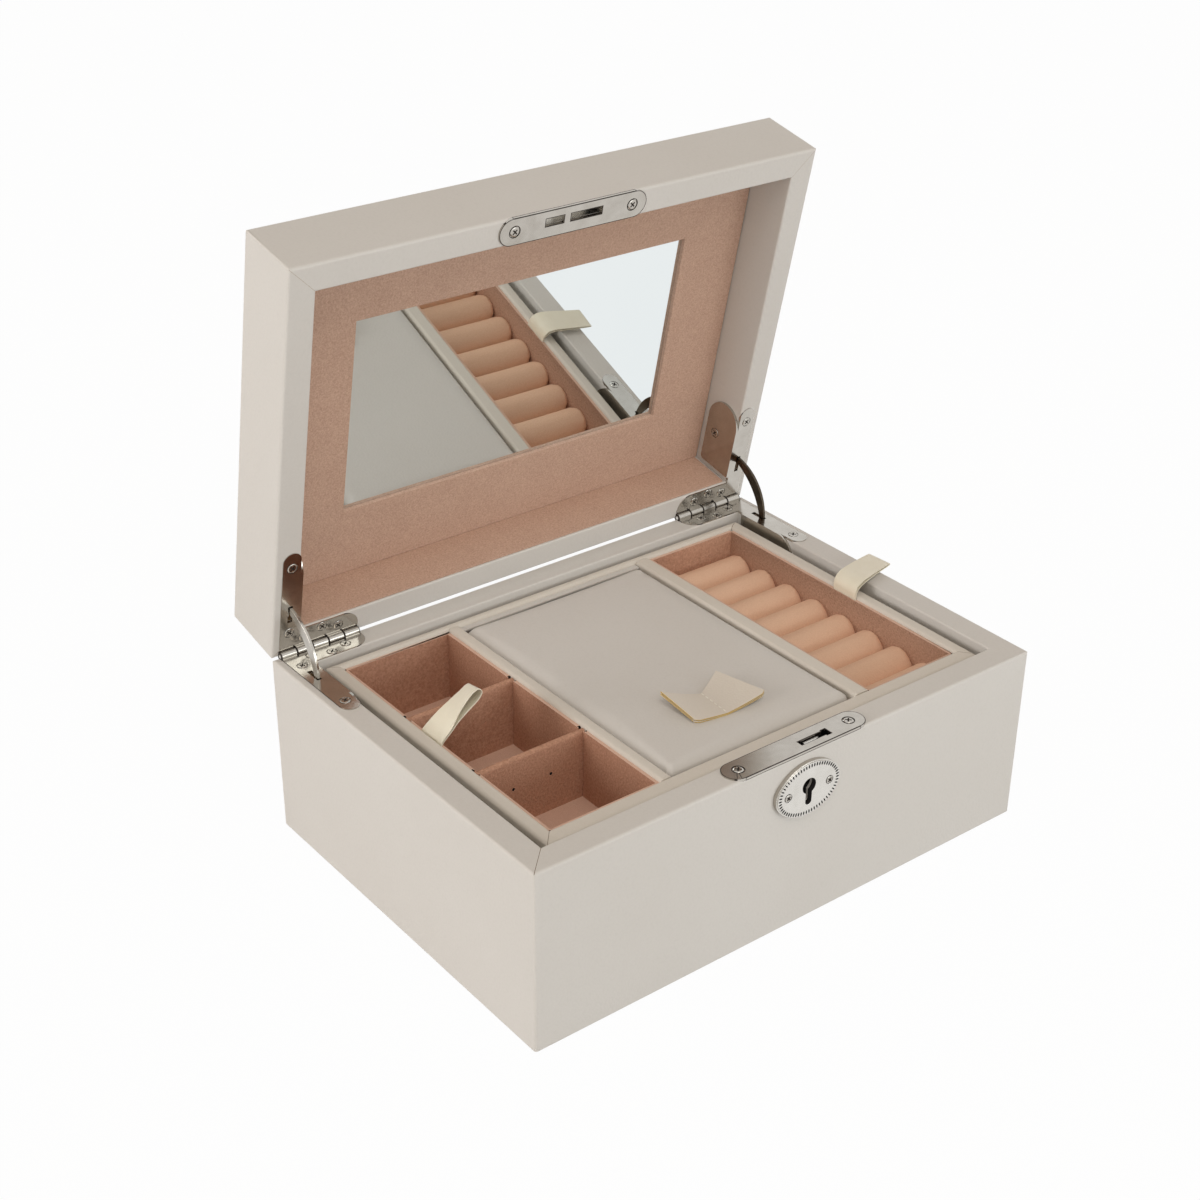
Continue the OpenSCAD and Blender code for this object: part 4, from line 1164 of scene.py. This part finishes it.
@dataclass
class Case(SubAssembly):
    """The lower part of the box: skin, boards, ledge and floor."""

    rim: float = 12.0 * MM
    seam: float = 0.22 * MM
    # Cut-out walls of the front board above this height are painted light in the lit nickel
    slot_level: float = 76.0 * MM
    skin_edge: float = 0.25 * MM
    suede_edge: float = 0.6 * MM

    def build(self) -> None:
        """Dresses the case."""
        looks = self.finishes
        skin = merged_copy("body_wrap", looks.leatherette, looks.seam)
        low, high = box_of("body_wrap")
        for x, y, sx, sy in ((low.x, low.y, 1, 1), (low.x, high.y, 1, -1), (high.x, high.y, -1, -1)):
            mitred(skin, (x, y, high.z), (sx * self.rim, sy * self.rim, 0.0), 1, self.seam)
        softened(skin, self.skin_edge)
        self.settle(skin, looks.leatherette, "leatherette", ("body_wrap",))
        # The walls of the board's cut-outs are painted dark as shade, and those near the top painted light
        board = smoothed(hollows_marked(merged_copy("front_board", looks.board, looks.dark, looks.bright)))
        for face in board.data.polygons:
            if face.material_index == Mark.FIRST and face.center.z > self.slot_level:
                face.material_index = Mark.SECOND
        self.settle(board, looks.board, "board", ("front_board",))
        self.paint(looks.board, "back_board", "left_board", "right_board", "base_board")
        self.paint(looks.felt, "base_felt")
        for node in ("tray_ledge", "floor_pad"):
            self.dress(node, looks.suede, "suede", self.suede_edge)


@dataclass
class Lid(SubAssembly):
    """The lid: skin, boards, mirror, its frame and the lining strip."""

    body: str = "lid"
    rim: float = 12.0 * MM
    seam: float = 0.14 * MM
    glass_line: float = 0.7 * MM
    pin: Point = (0.0, 92.0 * MM, 84.0 * MM)
    open_angle: float = 78.0
    half_width: float = 130.0 * MM
    half_depth: float = 93.0 * MM
    rim_level: float = 85.0 * MM
    skin_edge: float = 0.25 * MM
    suede_edge: float = 0.3 * MM
    frame_margin: float = 4.0 * MM

    def turned(self, piece: bpy.types.Object, degrees: float) -> bpy.types.Object:
        """Turns a piece's mesh about the hinge pins."""
        pin = Matrix.Translation(self.pin)
        piece.data.transform(pin @ Matrix.Rotation(math.radians(degrees), 4, "X") @ pin.inverted())
        return piece

    def skin(self) -> None:
        """Scores the lid's mitres, with the lid shut for the while, and dresses its skin."""
        looks = self.finishes
        skin = self.turned(merged_copy("lid_wrap", looks.leatherette, looks.soft_seam), self.open_angle)
        for sx in (1, -1):
            for sy in (1, -1):
                corner = (-sx * self.half_width, -sy * self.half_depth, self.rim_level)
                mitred(skin, corner, (sx * self.rim, sy * self.rim, 0.0), -1, self.seam)
        softened(self.turned(skin, -self.open_angle), self.skin_edge)
        self.settle(skin, looks.leatherette, "leatherette", ("lid_wrap",))

    def frame_round_mirror(self) -> None:
        """Dresses the frame, with a dark line of painted shade where its window meets the glass."""
        looks = self.finishes
        piece = self.turned(merged_copy("mirror_frame", looks.suede, looks.dark), self.open_angle)
        low, high = corners_of(v.co for v in piece.data.vertices)
        middle, half = (low + high) / 2, (high - low) / 2
        corners = []
        for face in piece.data.polygons:
            out = face.center - middle
            out.z = 0.0
            inside = min(half.x - abs(out.x), half.y - abs(out.y)) > self.frame_margin
            if abs(face.normal.z) < 0.3 and inside and face.normal.dot(out) < 0:
                corners += [piece.data.vertices[v].co for v in face.vertices]
        first, last = corners_of(corners)
        slack = 0.1 * MM

        def on_window(place: Vector) -> bool:
            """Whether a point lies on the walls of the window."""
            return all(first[i] - slack < place[i] < last[i] + slack for i in range(2))

        level = last.z - self.glass_line / 2
        scored(piece, (0.0, 0.0, level), (0.0, 0.0, 1.0), on_window, self.glass_line)
        softened(self.turned(piece, -self.open_angle), self.suede_edge)
        self.settle(piece, looks.suede, "suede", ("mirror_frame",))

    def build(self) -> None:
        """Dresses the lid."""
        looks = self.finishes
        self.skin()
        self.paint(looks.board, "lid_back_board", "lid_left_board", "lid_right_board", "lid_top_board")
        # The walls of the board's cut-outs get the lit nickel: painted light, as the metal seen through the
        # lock plate's slot
        board = self.turned(merged_copy("lid_front_board", looks.board, looks.bright), self.open_angle)
        board = smoothed(self.turned(hollows_marked(board), -self.open_angle))
        self.settle(board, looks.board, "board", ("lid_front_board",))
        self.paint(looks.silvering, "mirror")
        self.frame_round_mirror()
        self.dress("lid_back_lining", looks.suede, "suede", self.suede_edge)


@dataclass
class Hardware(SubAssembly):
    """Hinges, stays, lock and screws."""

    tick_count: int = 58
    tick_inset: float = 1.7 * MM
    tick_long: float = 1.8 * MM
    tick_wide: float = 0.62 * MM
    tick_deep: float = 0.5 * MM
    # How near a wall counts and what share of rays must meet one, for the painted crevice shade
    crevice: float = 0.8 * MM
    crevice_share: float = 0.5
    recess_share: float = 0.25
    # Depth from the top of the lock case and hook bolt that is painted light in the lit nickel
    lit_top_depth: float = 3.0 * MM
    # Widths of the painted shade lines along the metal's edges, round the lock plates and at the knuckle ends
    line: float = 0.22 * MM
    outline: float = 0.32 * MM
    broad: float = 6.0 * MM**2
    pin: tuple[float, float] = (92.0 * MM, 84.0 * MM)
    knuckle_reach: float = 3.4 * MM
    band: float = 0.7 * MM
    fine_line: float = 0.18 * MM
    plate_edge: float = 0.15 * MM

    def oval(self) -> None:
        """Dresses the oval plate, its side painted darker than its face as shade and its keyhole painted dark
        as shade.
        """
        looks = self.finishes
        piece = merged_copy("escutcheon", looks.bright, looks.nickel, looks.dark)
        low, high = box_of("escutcheon")
        middle, half = (low + high) / 2, (high - low) / 2
        for face in piece.data.polygons:
            if abs(face.normal.y) < 0.5:
                out = math.hypot((face.center.x - middle.x) / half.x, (face.center.z - middle.z) / half.z)
                face.material_index = Mark.FIRST if out > 0.9 else Mark.SECOND
        softened(piece, self.plate_edge)
        self.settle(piece, looks.bright, "nickel", ("escutcheon",))

    def knurl(self) -> None:
        """Runs the ring of short notches round the oval plate's face, as dark beads of painted shade."""
        low, high = box_of("escutcheon")
        middle = (low + high) / 2
        wide, tall = (high.x - low.x) / 2 - self.tick_inset, (high.z - low.z) / 2 - self.tick_inset
        turns = [math.radians(2 * i) for i in range(180)]
        path = [(middle.x + wide * math.cos(t), low.y, middle.z + tall * math.sin(t)) for t in turns]
        ring = BeadRow().along(
            "escutcheon_notches",
            path,
            True,
            Count=self.tick_count,
            Length=self.tick_wide,
            Width=self.tick_long,
            Height=self.tick_deep,
            Up=(0.0, -1.0, 0.0),
            Finish=self.finishes.dark,
        )
        self.settle(ring, self.finishes.dark, "nickel")

    def metal(
        self, node: str, body: str, edge: float, others: Sequence[str] = (), share: float | None = None
    ) -> None:
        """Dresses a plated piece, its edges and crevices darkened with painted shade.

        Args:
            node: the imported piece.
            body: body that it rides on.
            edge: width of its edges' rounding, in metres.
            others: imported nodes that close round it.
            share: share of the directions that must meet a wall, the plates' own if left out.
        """
        looks = self.finishes
        piece = merged_copy(node, looks.nickel, looks.crevice_shade)
        # Crevices, the lock plates' outlines, the knuckle ends and every rounded edge get painted shade
        crevice_shaded(piece, others, self.crevice, share or self.crevice_share)
        if node in ("lock_face_plate", "lid_lock_plate"):
            outlined(piece, self.outline, self.broad)
        elif node.endswith("_plate"):
            banded(piece, self.pin, self.knuckle_reach, self.band)
        softened(piece, edge, 1, Mark.FIRST)
        self.settle(piece, looks.nickel, "nickel", (node,), body)

    def build(self) -> None:
        """Dresses the metal pieces."""
        looks = self.finishes
        for side in ("left", "right"):
            self.metal(f"{side}_body_plate", "box", self.line, ("body_wrap",))
            self.metal(f"{side}_lid_plate", "lid", self.line, ("lid_wrap",))
        self.metal("lock_face_plate", "box", self.line, ("body_wrap",))
        self.metal("lid_lock_plate", "lid", self.line, ("lid_wrap",))
        self.oval()
        # The right stay is painted darker than its twin, as shade
        for stay, finish in (("left_stay", looks.nickel), ("right_stay", looks.shaded_nickel)):
            self.dress(stay, finish, "nickel", self.plate_edge, stay)
        fine, share = self.fine_line, self.recess_share
        body_plates = ("lock_face_plate", "left_body_plate", "right_body_plate")
        lid_plates = ("lid_lock_plate", "left_lid_plate", "right_lid_plate")
        self.metal("body_screws", "box", fine, body_plates, share)
        self.metal("lid_screws", "lid", fine, lid_plates, share)
        self.metal("escutcheon_screws", "box", fine, ("escutcheon",), share)
        self.knurl()
        self.paint(looks.nickel, "hinge_pins")
        # Parts seen through the keyhole are painted dark as shade
        self.paint(looks.dark, "key_pin", "bolt_spring", "bolt_carriage")
        # The lock case and hook bolt are painted dark as shade, with their tops painted light where the slot
        # lets light in
        for node, body in (("lock_case", "box"), ("hook_bolt", "hook_bolt")):
            piece = merged_copy(node, looks.dark, looks.bright)
            top = box_of(node)[1].z
            for face in piece.data.polygons:
                bright = face.center.z > top - self.lit_top_depth
                face.material_index = Mark.FIRST if bright else Mark.OWN
            self.settle(smoothed(piece), looks.dark, "nickel", (node,), body)


@dataclass(frozen=True)
class Loop:
    """A folded ribbon: points of its front and back edge from end to end, in millimetres."""

    edges: tuple[tuple[Point, Point], ...]
    steps: int = 5
    columns: int = 7

    def made(self, name: str, thickness: float) -> tuple[bpy.types.Object, float]:
        """Makes the ribbon.

        Args:
            name: the object's name.
            thickness: thickness of its one ply, in metres.

        Returns:
            The ribbon and its length from end to end, in metres.
        """
        rows = smooth_path(np.array(self.edges).reshape(-1, 6) * MM, self.steps)
        shares = np.linspace(0.0, 1.0, self.columns)
        grid = np.array([[row[:3] * (1 - s) + row[3:] * s for s in shares] for row in rows])
        middle = grid[:, self.columns // 2]
        length = float(np.linalg.norm(np.diff(middle, axis=0), axis=1).sum())
        return thick_sheet(name, grid, thickness), length


LEFT_LOOP = Loop(
    edges=(
        ((-106.15, 2.0, 63.0), (-106.15, 16.0, 63.0)),
        ((-106.15, 2.0, 72.0), (-106.15, 16.0, 72.0)),
        ((-106.1, 2.0, 78.3), (-106.1, 16.0, 78.3)),
        ((-104.4, 1.8, 81.5), (-103.2, 15.7, 81.6)),
        ((-101.1, 1.6, 84.8), (-99.3, 15.3, 84.8)),
        ((-97.3, 1.5, 91.0), (-92.6, 14.5, 89.3)),
        ((-93.2, 1.5, 95.6), (-88.6, 14.2, 91.6)),
        ((-89.9, 1.5, 98.0), (-86.0, 14.1, 93.2)),
        ((-87.5, 1.5, 98.2), (-84.3, 14.1, 93.4)),
        ((-86.4, 1.5, 96.2), (-83.6, 14.1, 91.8)),
        ((-88.2, 1.5, 93.6), (-84.9, 14.2, 89.9)),
        ((-91.9, 1.5, 91.0), (-88.2, 14.4, 87.6)),
        ((-95.5, 1.5, 88.6), (-91.8, 14.8, 85.7)),
        ((-98.6, 1.5, 86.2), (-95.6, 15.1, 84.2)),
        ((-101.2, 1.6, 83.4), (-99.4, 15.4, 82.6)),
        ((-103.9, 1.8, 80.8), (-102.9, 15.7, 80.6)),
        ((-105.7, 2.0, 78.0), (-105.7, 16.0, 78.0)),
        ((-105.75, 2.0, 72.0), (-105.75, 16.0, 72.0)),
        ((-105.75, 2.0, 63.0), (-105.75, 16.0, 63.0)),
    )
)

RIGHT_LOOP = Loop(
    edges=(
        ((107.75, -10.5, 63.0), (107.75, 3.5, 63.0)),
        ((107.75, -10.5, 72.0), (107.75, 3.5, 72.0)),
        ((107.75, -10.5, 79.0), (107.75, 3.5, 79.0)),
        ((107.9, -10.4, 82.0), (107.9, 3.6, 82.0)),
        ((109.2, -10.2, 84.6), (109.2, 3.8, 84.6)),
        ((112.6, -9.7, 86.0), (112.4, 4.3, 86.0)),
        ((118.0, -8.4, 86.3), (117.6, 5.3, 86.3)),
        ((126.0, -6.4, 86.2), (125.4, 6.7, 86.2)),
        ((133.2, -4.8, 86.0), (132.4, 7.8, 86.0)),
        ((134.9, -4.5, 85.6), (134.1, 8.0, 85.6)),
        ((133.2, -4.9, 85.2), (132.4, 7.7, 85.2)),
        ((126.0, -6.5, 85.1), (125.4, 6.6, 85.1)),
        ((118.0, -8.5, 85.0), (117.6, 5.2, 85.0)),
        ((112.9, -9.8, 84.6), (112.7, 4.2, 84.6)),
        ((110.2, -10.2, 83.4), (110.2, 3.8, 83.4)),
        ((108.5, -10.4, 81.6), (108.5, 3.6, 81.6)),
        ((108.15, -10.5, 79.0), (108.15, 3.5, 79.0)),
        ((108.15, -10.5, 72.0), (108.15, 3.5, 72.0)),
        ((108.15, -10.5, 63.0), (108.15, 3.5, 63.0)),
    )
)


@dataclass
class Tray(SubAssembly):
    """The lift-out tray with its linings, dividers and ring section."""

    body: str = "tray"
    seam: float = 0.2 * MM
    notch: float = 0.55 * MM
    notch_depth: float = 1.4 * MM
    ribbon_ply: float = 0.3 * MM
    ribbon_width: float = 14.0 * MM
    closed_level: float = 83.0 * MM
    roll_inset: float = 0.5 * MM
    roll_gap: float = 0.25 * MM
    roll_drop: float = 0.4 * MM
    roll_round: float = 3.0 * MM
    nail: float = 0.7 * MM
    nail_depth: float = 0.9 * MM
    dent_depth: float = 0.25 * MM
    # Along X and Z: the front divider's nail holes, painted dark inside as shade, and the dent in the back
    # divider
    front_nails: tuple[tuple[float, float], ...] = ((-70.9 * MM, 64.6 * MM), (-89.2 * MM, 64.5 * MM))
    back_nails: tuple[tuple[float, float], ...] = ((-69.7 * MM, 63.7 * MM),)
    cover_edge: float = 0.3 * MM
    cut_edge: float = 0.2 * MM
    roll_filling: Filling = Filling(1.3 * MM, 9.0, 0.9 * MM, 3.0 * MM)

    def rims(self) -> None:
        """Dresses the tray's walls and rails."""
        looks = self.finishes
        walls = merged_copy("tray_frame", looks.tray_cover, looks.seam)
        low, high = box_of("tray_frame")
        left, right = box_of("left_liner"), box_of("ring_liner")
        inner = {low.x: left[0].x, high.x: right[1].x, low.y: left[0].y, high.y: left[1].y}
        for x in (low.x, high.x):
            for y in (low.y, high.y):
                mitred(walls, (x, y, high.z), (inner[x] - x, inner[y] - y, 0.0), 1, self.seam)
        softened(walls, self.cover_edge)
        self.settle(walls, looks.tray_cover, "leatherette", ("tray_frame",))
        for node in ("left_rail", "right_rail"):
            self.dress(node, looks.tray_cover, "leatherette", self.cover_edge)
        self.paint(looks.leatherette, "tray_floor", "inner_lid_hinge")

    def liner(self, node: str, notches: Sequence[tuple[float, float]]) -> None:
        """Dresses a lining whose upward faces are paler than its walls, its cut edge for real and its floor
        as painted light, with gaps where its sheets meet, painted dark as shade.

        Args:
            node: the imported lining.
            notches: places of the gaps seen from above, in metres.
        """
        looks = self.finishes
        top = box_of(node)[1].z
        piece = merged_copy(node, looks.lining, looks.suede_edge, looks.dark)
        # Upward faces are paler: the cut edges for real, the floors as painted light
        for face in piece.data.polygons:
            if face.normal.z > 0.9:
                face.material_index = Mark.FIRST
        half = (self.notch, self.notch, self.notch_depth)
        if notches:
            carved(piece, [Cut((x, y, top), half) for x, y in notches])
        # The walls of the gaps are painted dark as shade
        reach, skin = 1.01, 0.05 * MM
        for face in piece.data.polygons:
            x, y, z = face.center
            near = any(max(abs(x - u), abs(y - v)) < self.notch * reach for u, v in notches)
            if near and top - self.notch_depth * reach < z < top - skin:
                face.material_index = Mark.SECOND
        softened(piece, self.cut_edge)
        self.settle(piece, looks.lining, "suede", (node,))

    def nailed(self, node: str, holes: Sequence[tuple[float, float]], depth: float, dark: bool) -> None:
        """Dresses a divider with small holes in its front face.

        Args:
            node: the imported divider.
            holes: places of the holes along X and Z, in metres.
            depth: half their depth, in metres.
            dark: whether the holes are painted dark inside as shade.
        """
        looks = self.finishes
        piece = merged_copy(node, looks.lining, looks.dark)
        front = box_of(node)[0].y
        carved(piece, [Cut((x, front, z), (self.nail, depth, self.nail), CutShape.HOLE) for x, z in holes])
        reach, skin, dark_to = 1.05 * self.nail, 0.02 * MM, 1.2 * MM
        for face in piece.data.polygons:
            x, y, z = face.center
            if y > front + skin and any(math.hypot(x - u, z - v) < reach for u, v in holes):
                face.material_index = Mark.FIRST if dark and y < front + dark_to else Mark.OWN
        self.settle(smoothed(piece), looks.lining, "suede", (node,))

    def linings(self) -> None:
        """Dresses the linings and the dividers."""
        looks, n = self.finishes, self.notch
        side = 1.2 * n
        low, high = box_of("left_liner")
        gaps = [(low.x + n, low.y + n), (low.x + n, high.y - n), (high.x - n, high.y - n)]
        for node in ("back_divider", "front_divider"):
            first, last = box_of(node)
            for y in (first.y - n, last.y + n):
                gaps += [(low.x + side, y), (high.x - side, y)]
        self.liner("left_liner", gaps)
        low, high = box_of("ring_liner")
        self.liner("ring_liner", [(high.x - n, low.y + n), (low.x + n, low.y + n), (high.x - n, high.y - n)])
        self.liner("center_liner", [])
        self.dress("ring_bed", looks.lining, "suede", self.cover_edge)
        self.nailed("front_divider", self.front_nails, self.nail_depth, True)
        self.nailed("back_divider", self.back_nails, self.dent_depth, False)

    def rolls(self) -> None:
        """Makes the padded rolls that hold rings from one swollen form."""
        nodes = sorted(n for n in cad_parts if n.startswith("ring_roll_"))
        form = merged_copy(nodes[0], self.finishes.roll)
        form.name = "roll_form"
        low, high = box_of(nodes[0])
        middle = (low + high) / 2
        for vert in form.data.vertices:
            for axis, inset in ((0, self.roll_inset), (1, self.roll_gap)):
                vert.co[axis] -= math.copysign(inset, vert.co[axis] - middle[axis])
            if vert.co.z > middle.z:
                vert.co.z -= self.roll_drop
        softened(form, self.roll_round, 4)
        self.roll_filling.swell(form)
        for node in nodes:
            first, _ = box_of(node)
            piece = link_object(f"{node}_dressed", form.data.copy())
            piece.data.transform(Matrix.Translation(first - low))
            self.settle(piece, self.finishes.roll, "roll_velvet", (node,))
        bpy.data.objects.remove(form)

    def ribbons(self) -> None:
        """Makes the two lifting ribbons."""
        looks = self.finishes
        for node, loop in (("left_ribbon", LEFT_LOOP), ("right_ribbon", RIGHT_LOOP)):
            piece, length = loop.made(f"{node}_loop", self.ribbon_ply)
            for _ in (Mark.OWN, Mark.FIRST):
                piece.data.materials.append(looks.ribbon)
            self.settle(piece, looks.ribbon, "ribbon", (node,))
            if node == "right_ribbon":
                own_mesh(piece)

    def build(self) -> None:
        """Dresses the tray."""
        self.rims()
        self.linings()
        self.rolls()
        self.ribbons()


@dataclass
class InnerLid(SubAssembly):
    """The padded lid of the middle compartment and its pull tab."""

    body: str = "inner_lid"
    underside_gap: float = 0.4 * MM
    ply: float = 0.55 * MM
    ply_gap: float = 0.25 * MM
    # Corners of the tab's two leaves in millimetres: seam front and back, free edge front and back
    seam_front: Point = (-2.9, -51.0, 81.2)
    seam_back: Point = (-1.8, -33.2, 81.2)
    left_front: Point = (-17.7, -48.9, 82.0)
    left_back: Point = (-19.1, -27.8, 86.0)
    right_front: Point = (17.1, -52.0, 84.6)
    right_back: Point = (11.3, -27.0, 84.4)
    # Each leaf's outer front corner is nipped, past a share of its length and before one of its width
    nip_from: float = 0.9
    nip_to: float = 0.12
    nip: float = 0.12
    leaf_rows: int = 17
    leaf_columns: int = 13
    stitch_count: int = 6
    stitch: Point = (2.0 * MM, 0.55 * MM, 0.5 * MM)
    underside: float = 0.1 * MM
    crown: float = 1.0 * MM
    crown_drop: float = 0.35 * MM
    filling: Filling = Filling(1.9 * MM, 1.2, 0.7 * MM, 2.5 * MM)

    def cover(self) -> None:
        """Makes the padded cover of the inner lid."""
        form = hull_of(merged_copy("inner_lid_cover", self.finishes.leatherette))
        low, high = box_of("inner_lid_cover")
        for vert in form.data.vertices:
            if vert.co.z < low.z + self.underside:
                vert.co.z += self.underside_gap
            if vert.co.z > high.z - self.crown:
                vert.co.z -= self.crown_drop
        self.filling.swell(form)
        self.settle(form, self.finishes.leatherette, "leatherette", ("inner_lid_cover",))

    def leaf(
        self, name: str, free_front: Point, free_back: Point, level: float, bend: float
    ) -> bpy.types.Object:
        """Makes one ply of one leaf of the tab.

        Args:
            name: the object's name.
            free_front: front corner of its free edge, in millimetres.
            free_back: back corner of its free edge, in millimetres.
            level: height of the ply over the tab's underside, in metres.
            bend: how late the leaf rises, 1 for a straight slope.

        Returns:
            The ply.
        """
        start = np.array([self.seam_front, self.seam_back]) * MM
        end = np.array([free_front, free_back]) * MM
        grid = np.empty((self.leaf_rows, self.leaf_columns, 3))
        for i, u in enumerate(np.linspace(0.0, 1.0, self.leaf_rows)):
            for j, v in enumerate(np.linspace(0.0, 1.0, self.leaf_columns)):
                near = start[0] * (1 - v) + start[1] * v
                far = end[0] * (1 - v) + end[1] * v
                point = near * (1 - u) + far * u
                point[2] = near[2] + (far[2] - near[2]) * u**bend + level * (0.7 + 0.6 * u)
                point[1] += max(0.0, u - self.nip_from) * max(0.0, self.nip_to - v) * self.nip
                grid[i, j] = point
        return thick_sheet(name, grid, self.ply)

    def tab(self) -> None:
        """Makes the tab: two leaves of two plies, sewn along the middle."""
        looks = self.finishes
        plies = []
        for side, front, back, bend in (
            ("left", self.left_front, self.left_back, 1.5),
            ("right", self.right_front, self.right_back, 1.3),
        ):
            for ply, level in (("lower", -self.ply - self.ply_gap), ("upper", 0.0)):
                plies.append(self.leaf(f"pull_tab_{side}_{ply}", front, back, level, bend))
        for i, piece in enumerate(plies):
            piece.data.materials.append(looks.tab_leather)
            piece.data.materials.append(looks.tab_edge)
            stood_for = ("pull_tab",) if i == 0 else ()
            self.settle(piece, looks.tab_leather, "tab_leather", stood_for)
        first, last = Vector(self.seam_front) * MM, Vector(self.seam_back) * MM
        lift = Vector((0.0, 0.0, self.ply / 2 + 0.05 * MM))
        path = [first.lerp(last, 0.12) + lift, first.lerp(last, 0.95) + lift]
        stitches = BeadRow().along(
            "pull_tab_stitches",
            [tuple(p) for p in path],
            False,
            Count=self.stitch_count,
            Length=self.stitch[0],
            Width=self.stitch[1],
            Height=self.stitch[2],
            Up=(0.0, 0.0, 1.0),
            Finish=looks.thread,
        )
        self.settle(stitches, looks.thread, "tab_leather")

    def build(self) -> None:
        """Dresses the inner lid."""
        self.cover()
        self.paint(self.finishes.suede, "inner_lid_board")
        self.tab()


# ---------------------------------------------------------------- studio


@dataclass
class Studio:
    """Camera, lamps and the pale floor."""

    # Where the photograph was taken from, found by fitting the box's corners
    azimuth: float = -39.056
    elevation: float = 29.139
    roll: float = 1.069
    eye: Point = (-0.46724, -0.56363, 0.51708)
    # Focal length and principal point in pixels of the square photograph
    picture: float = 1200.0
    focal: float = 2019.214
    centre: tuple[float, float] = (636.589, 601.575)
    sensor: float = 36.0
    floor_size: float = 6.0
    # The surround lights the box mostly from low down and warmly from above, as a tent with an open top
    horizon: float = 0.90
    zenith: float = 0.24
    warm: Rgb = (1.0, 0.84, 0.68)
    cool: Rgb = (1.0, 0.98, 0.95)
    floor_tone: float = 0.65
    floor_glow: float = 0.975

    def camera(self) -> None:
        """Makes the camera at the photograph's place."""
        data = bpy.data.cameras.new("camera")
        data.sensor_width = self.sensor
        data.sensor_fit = "HORIZONTAL"
        data.lens = self.focal / self.picture * self.sensor
        data.shift_x = (self.picture / 2 - self.centre[0]) / self.picture
        data.shift_y = (self.centre[1] - self.picture / 2) / self.picture
        data.clip_start, data.clip_end = 0.01, 50.0
        a, e, r = (math.radians(v) for v in (self.azimuth, self.elevation, self.roll))
        back = Vector((math.sin(a) * math.cos(e), -math.cos(a) * math.cos(e), math.sin(e)))
        level = Vector((math.cos(a), math.sin(a), 0.0))
        upright = back.cross(level)
        right = math.cos(r) * level + math.sin(r) * upright
        up = back.cross(right)
        eye = bpy.data.objects.new("camera", data)
        eye.matrix_world = Matrix.Translation(self.eye) @ Matrix((right, up, back)).transposed().to_4x4()
        bpy.context.scene.collection.objects.link(eye)
        bpy.context.scene.camera = eye

    def lamp(self, name: str, place: Point, aim: Point, size: float, power: float, tint: Rgb) -> None:
        """Adds a soft square lamp.

        Args:
            name: the lamp's name.
            place: where it stands.
            aim: what it points at.
            size: its side, in metres.
            power: its power, in watts.
            tint: its colour.
        """
        data = bpy.data.lights.new(name, "AREA")
        data.shape = "SQUARE"
        data.size = size
        data.energy = power
        data.color = tint
        lamp = bpy.data.objects.new(name, data)
        lamp.location = place
        lamp.rotation_mode = "QUATERNION"
        lamp.rotation_quaternion = (Vector(aim) - Vector(place)).to_track_quat("-Z", "Y")
        bpy.context.scene.collection.objects.link(lamp)

    def lamps(self) -> None:
        """Lights the left side, the front from near and the inside from above."""
        middle = (0.0, 0.0, 0.1)
        self.lamp("key", (-1.9, 0.35, 0.45), middle, 0.9, 14.5, (1.0, 0.97, 0.93))
        self.lamp("fill", (0.28, -0.95, 0.12), (0.0, 0.0, 0.04), 0.6, 3.3, (0.90, 0.97, 1.0))
        self.lamp("top", (-0.3, -0.9, 1.6), middle, 1.0, 8.8, (1.0, 0.95, 0.88))

    def world(self) -> None:
        """A soft surround, plain white where it is seen directly or reflected."""
        world = bpy.data.worlds.new("surround")
        world.use_nodes = True
        tree = Tree(world.node_tree)
        background = world.node_tree.nodes["Background"]
        seen = tree.seen()
        way = tree.node("ShaderNodeSeparateXYZ", Vector=tree.node("ShaderNodeTexCoord").outputs["Generated"])
        rise = tree.node("ShaderNodeClamp", Value=way.outputs["Z"]).outputs[0]
        low = tree.maths("POWER", tree.maths("SUBTRACT", 1.0, rise), 1.2)
        lit = tree.maths("ADD", tree.maths("MULTIPLY", low, self.horizon - self.zenith), self.zenith)
        strength = tree.node("ShaderNodeMix", {"data_type": "FLOAT"}, Factor=seen, A=lit, B=1.0)
        tree.feed(background, "Strength", strength.outputs[0])
        tint = tree.blend(low, self.warm, self.cool)
        tree.feed(background, "Color", tree.blend(seen, tint, (1.0, 1.0, 1.0)))
        bpy.context.scene.world = world

    def floor(self) -> None:
        """The pale floor, white in the picture, with the box's soft shadow."""
        half = self.floor_size / 2
        corners = [(-half, -half, 0), (half, -half, 0), (half, half, 0), (-half, half, 0)]
        floor = mesh_from("floor", corners, [(0, 1, 2, 3)])
        material = bpy.data.materials.new("white_floor")
        material.use_nodes = True
        tree = Tree(material.node_tree)
        shader, out = (material.node_tree.nodes[n] for n in ("Principled BSDF", "Material Output"))
        tree.feed(shader, "Base Color", (*[self.floor_tone] * 3, 1.0))
        tree.feed(shader, "Roughness", 0.9)
        glow = tree.node("ShaderNodeEmission", Color=(1.0, 1.0, 1.0, 1.0), Strength=1.0)
        mix = tree.node("ShaderNodeMixShader")
        shares = (tree.maths("MULTIPLY", tree.seen(), self.floor_glow), shader.outputs[0], glow.outputs[0])
        for place, value in zip(mix.inputs, shares):
            tree.put(place, value)
        tree.feed(out, "Surface", mix.outputs[0])
        floor.data.materials.append(material)

    def build(self) -> None:
        """Makes the whole studio."""
        bpy.context.scene.view_settings.view_transform = "Standard"
        self.camera()
        self.lamps()
        self.world()
        self.floor()


def main() -> None:
    """Builds the box's looks in order."""
    logging.basicConfig(level=logging.INFO, format="%(name)s: %(message)s")
    Studio().build()
    finishes = Finishes(Effects())
    for part in (Case, Lid, Hardware, Tray, InnerLid):
        assembly = part(finishes)
        assembly.build()
        log.info("%s: %d pieces", part.__name__, len(assembly.made))


if __name__ == "__main__":
    main()
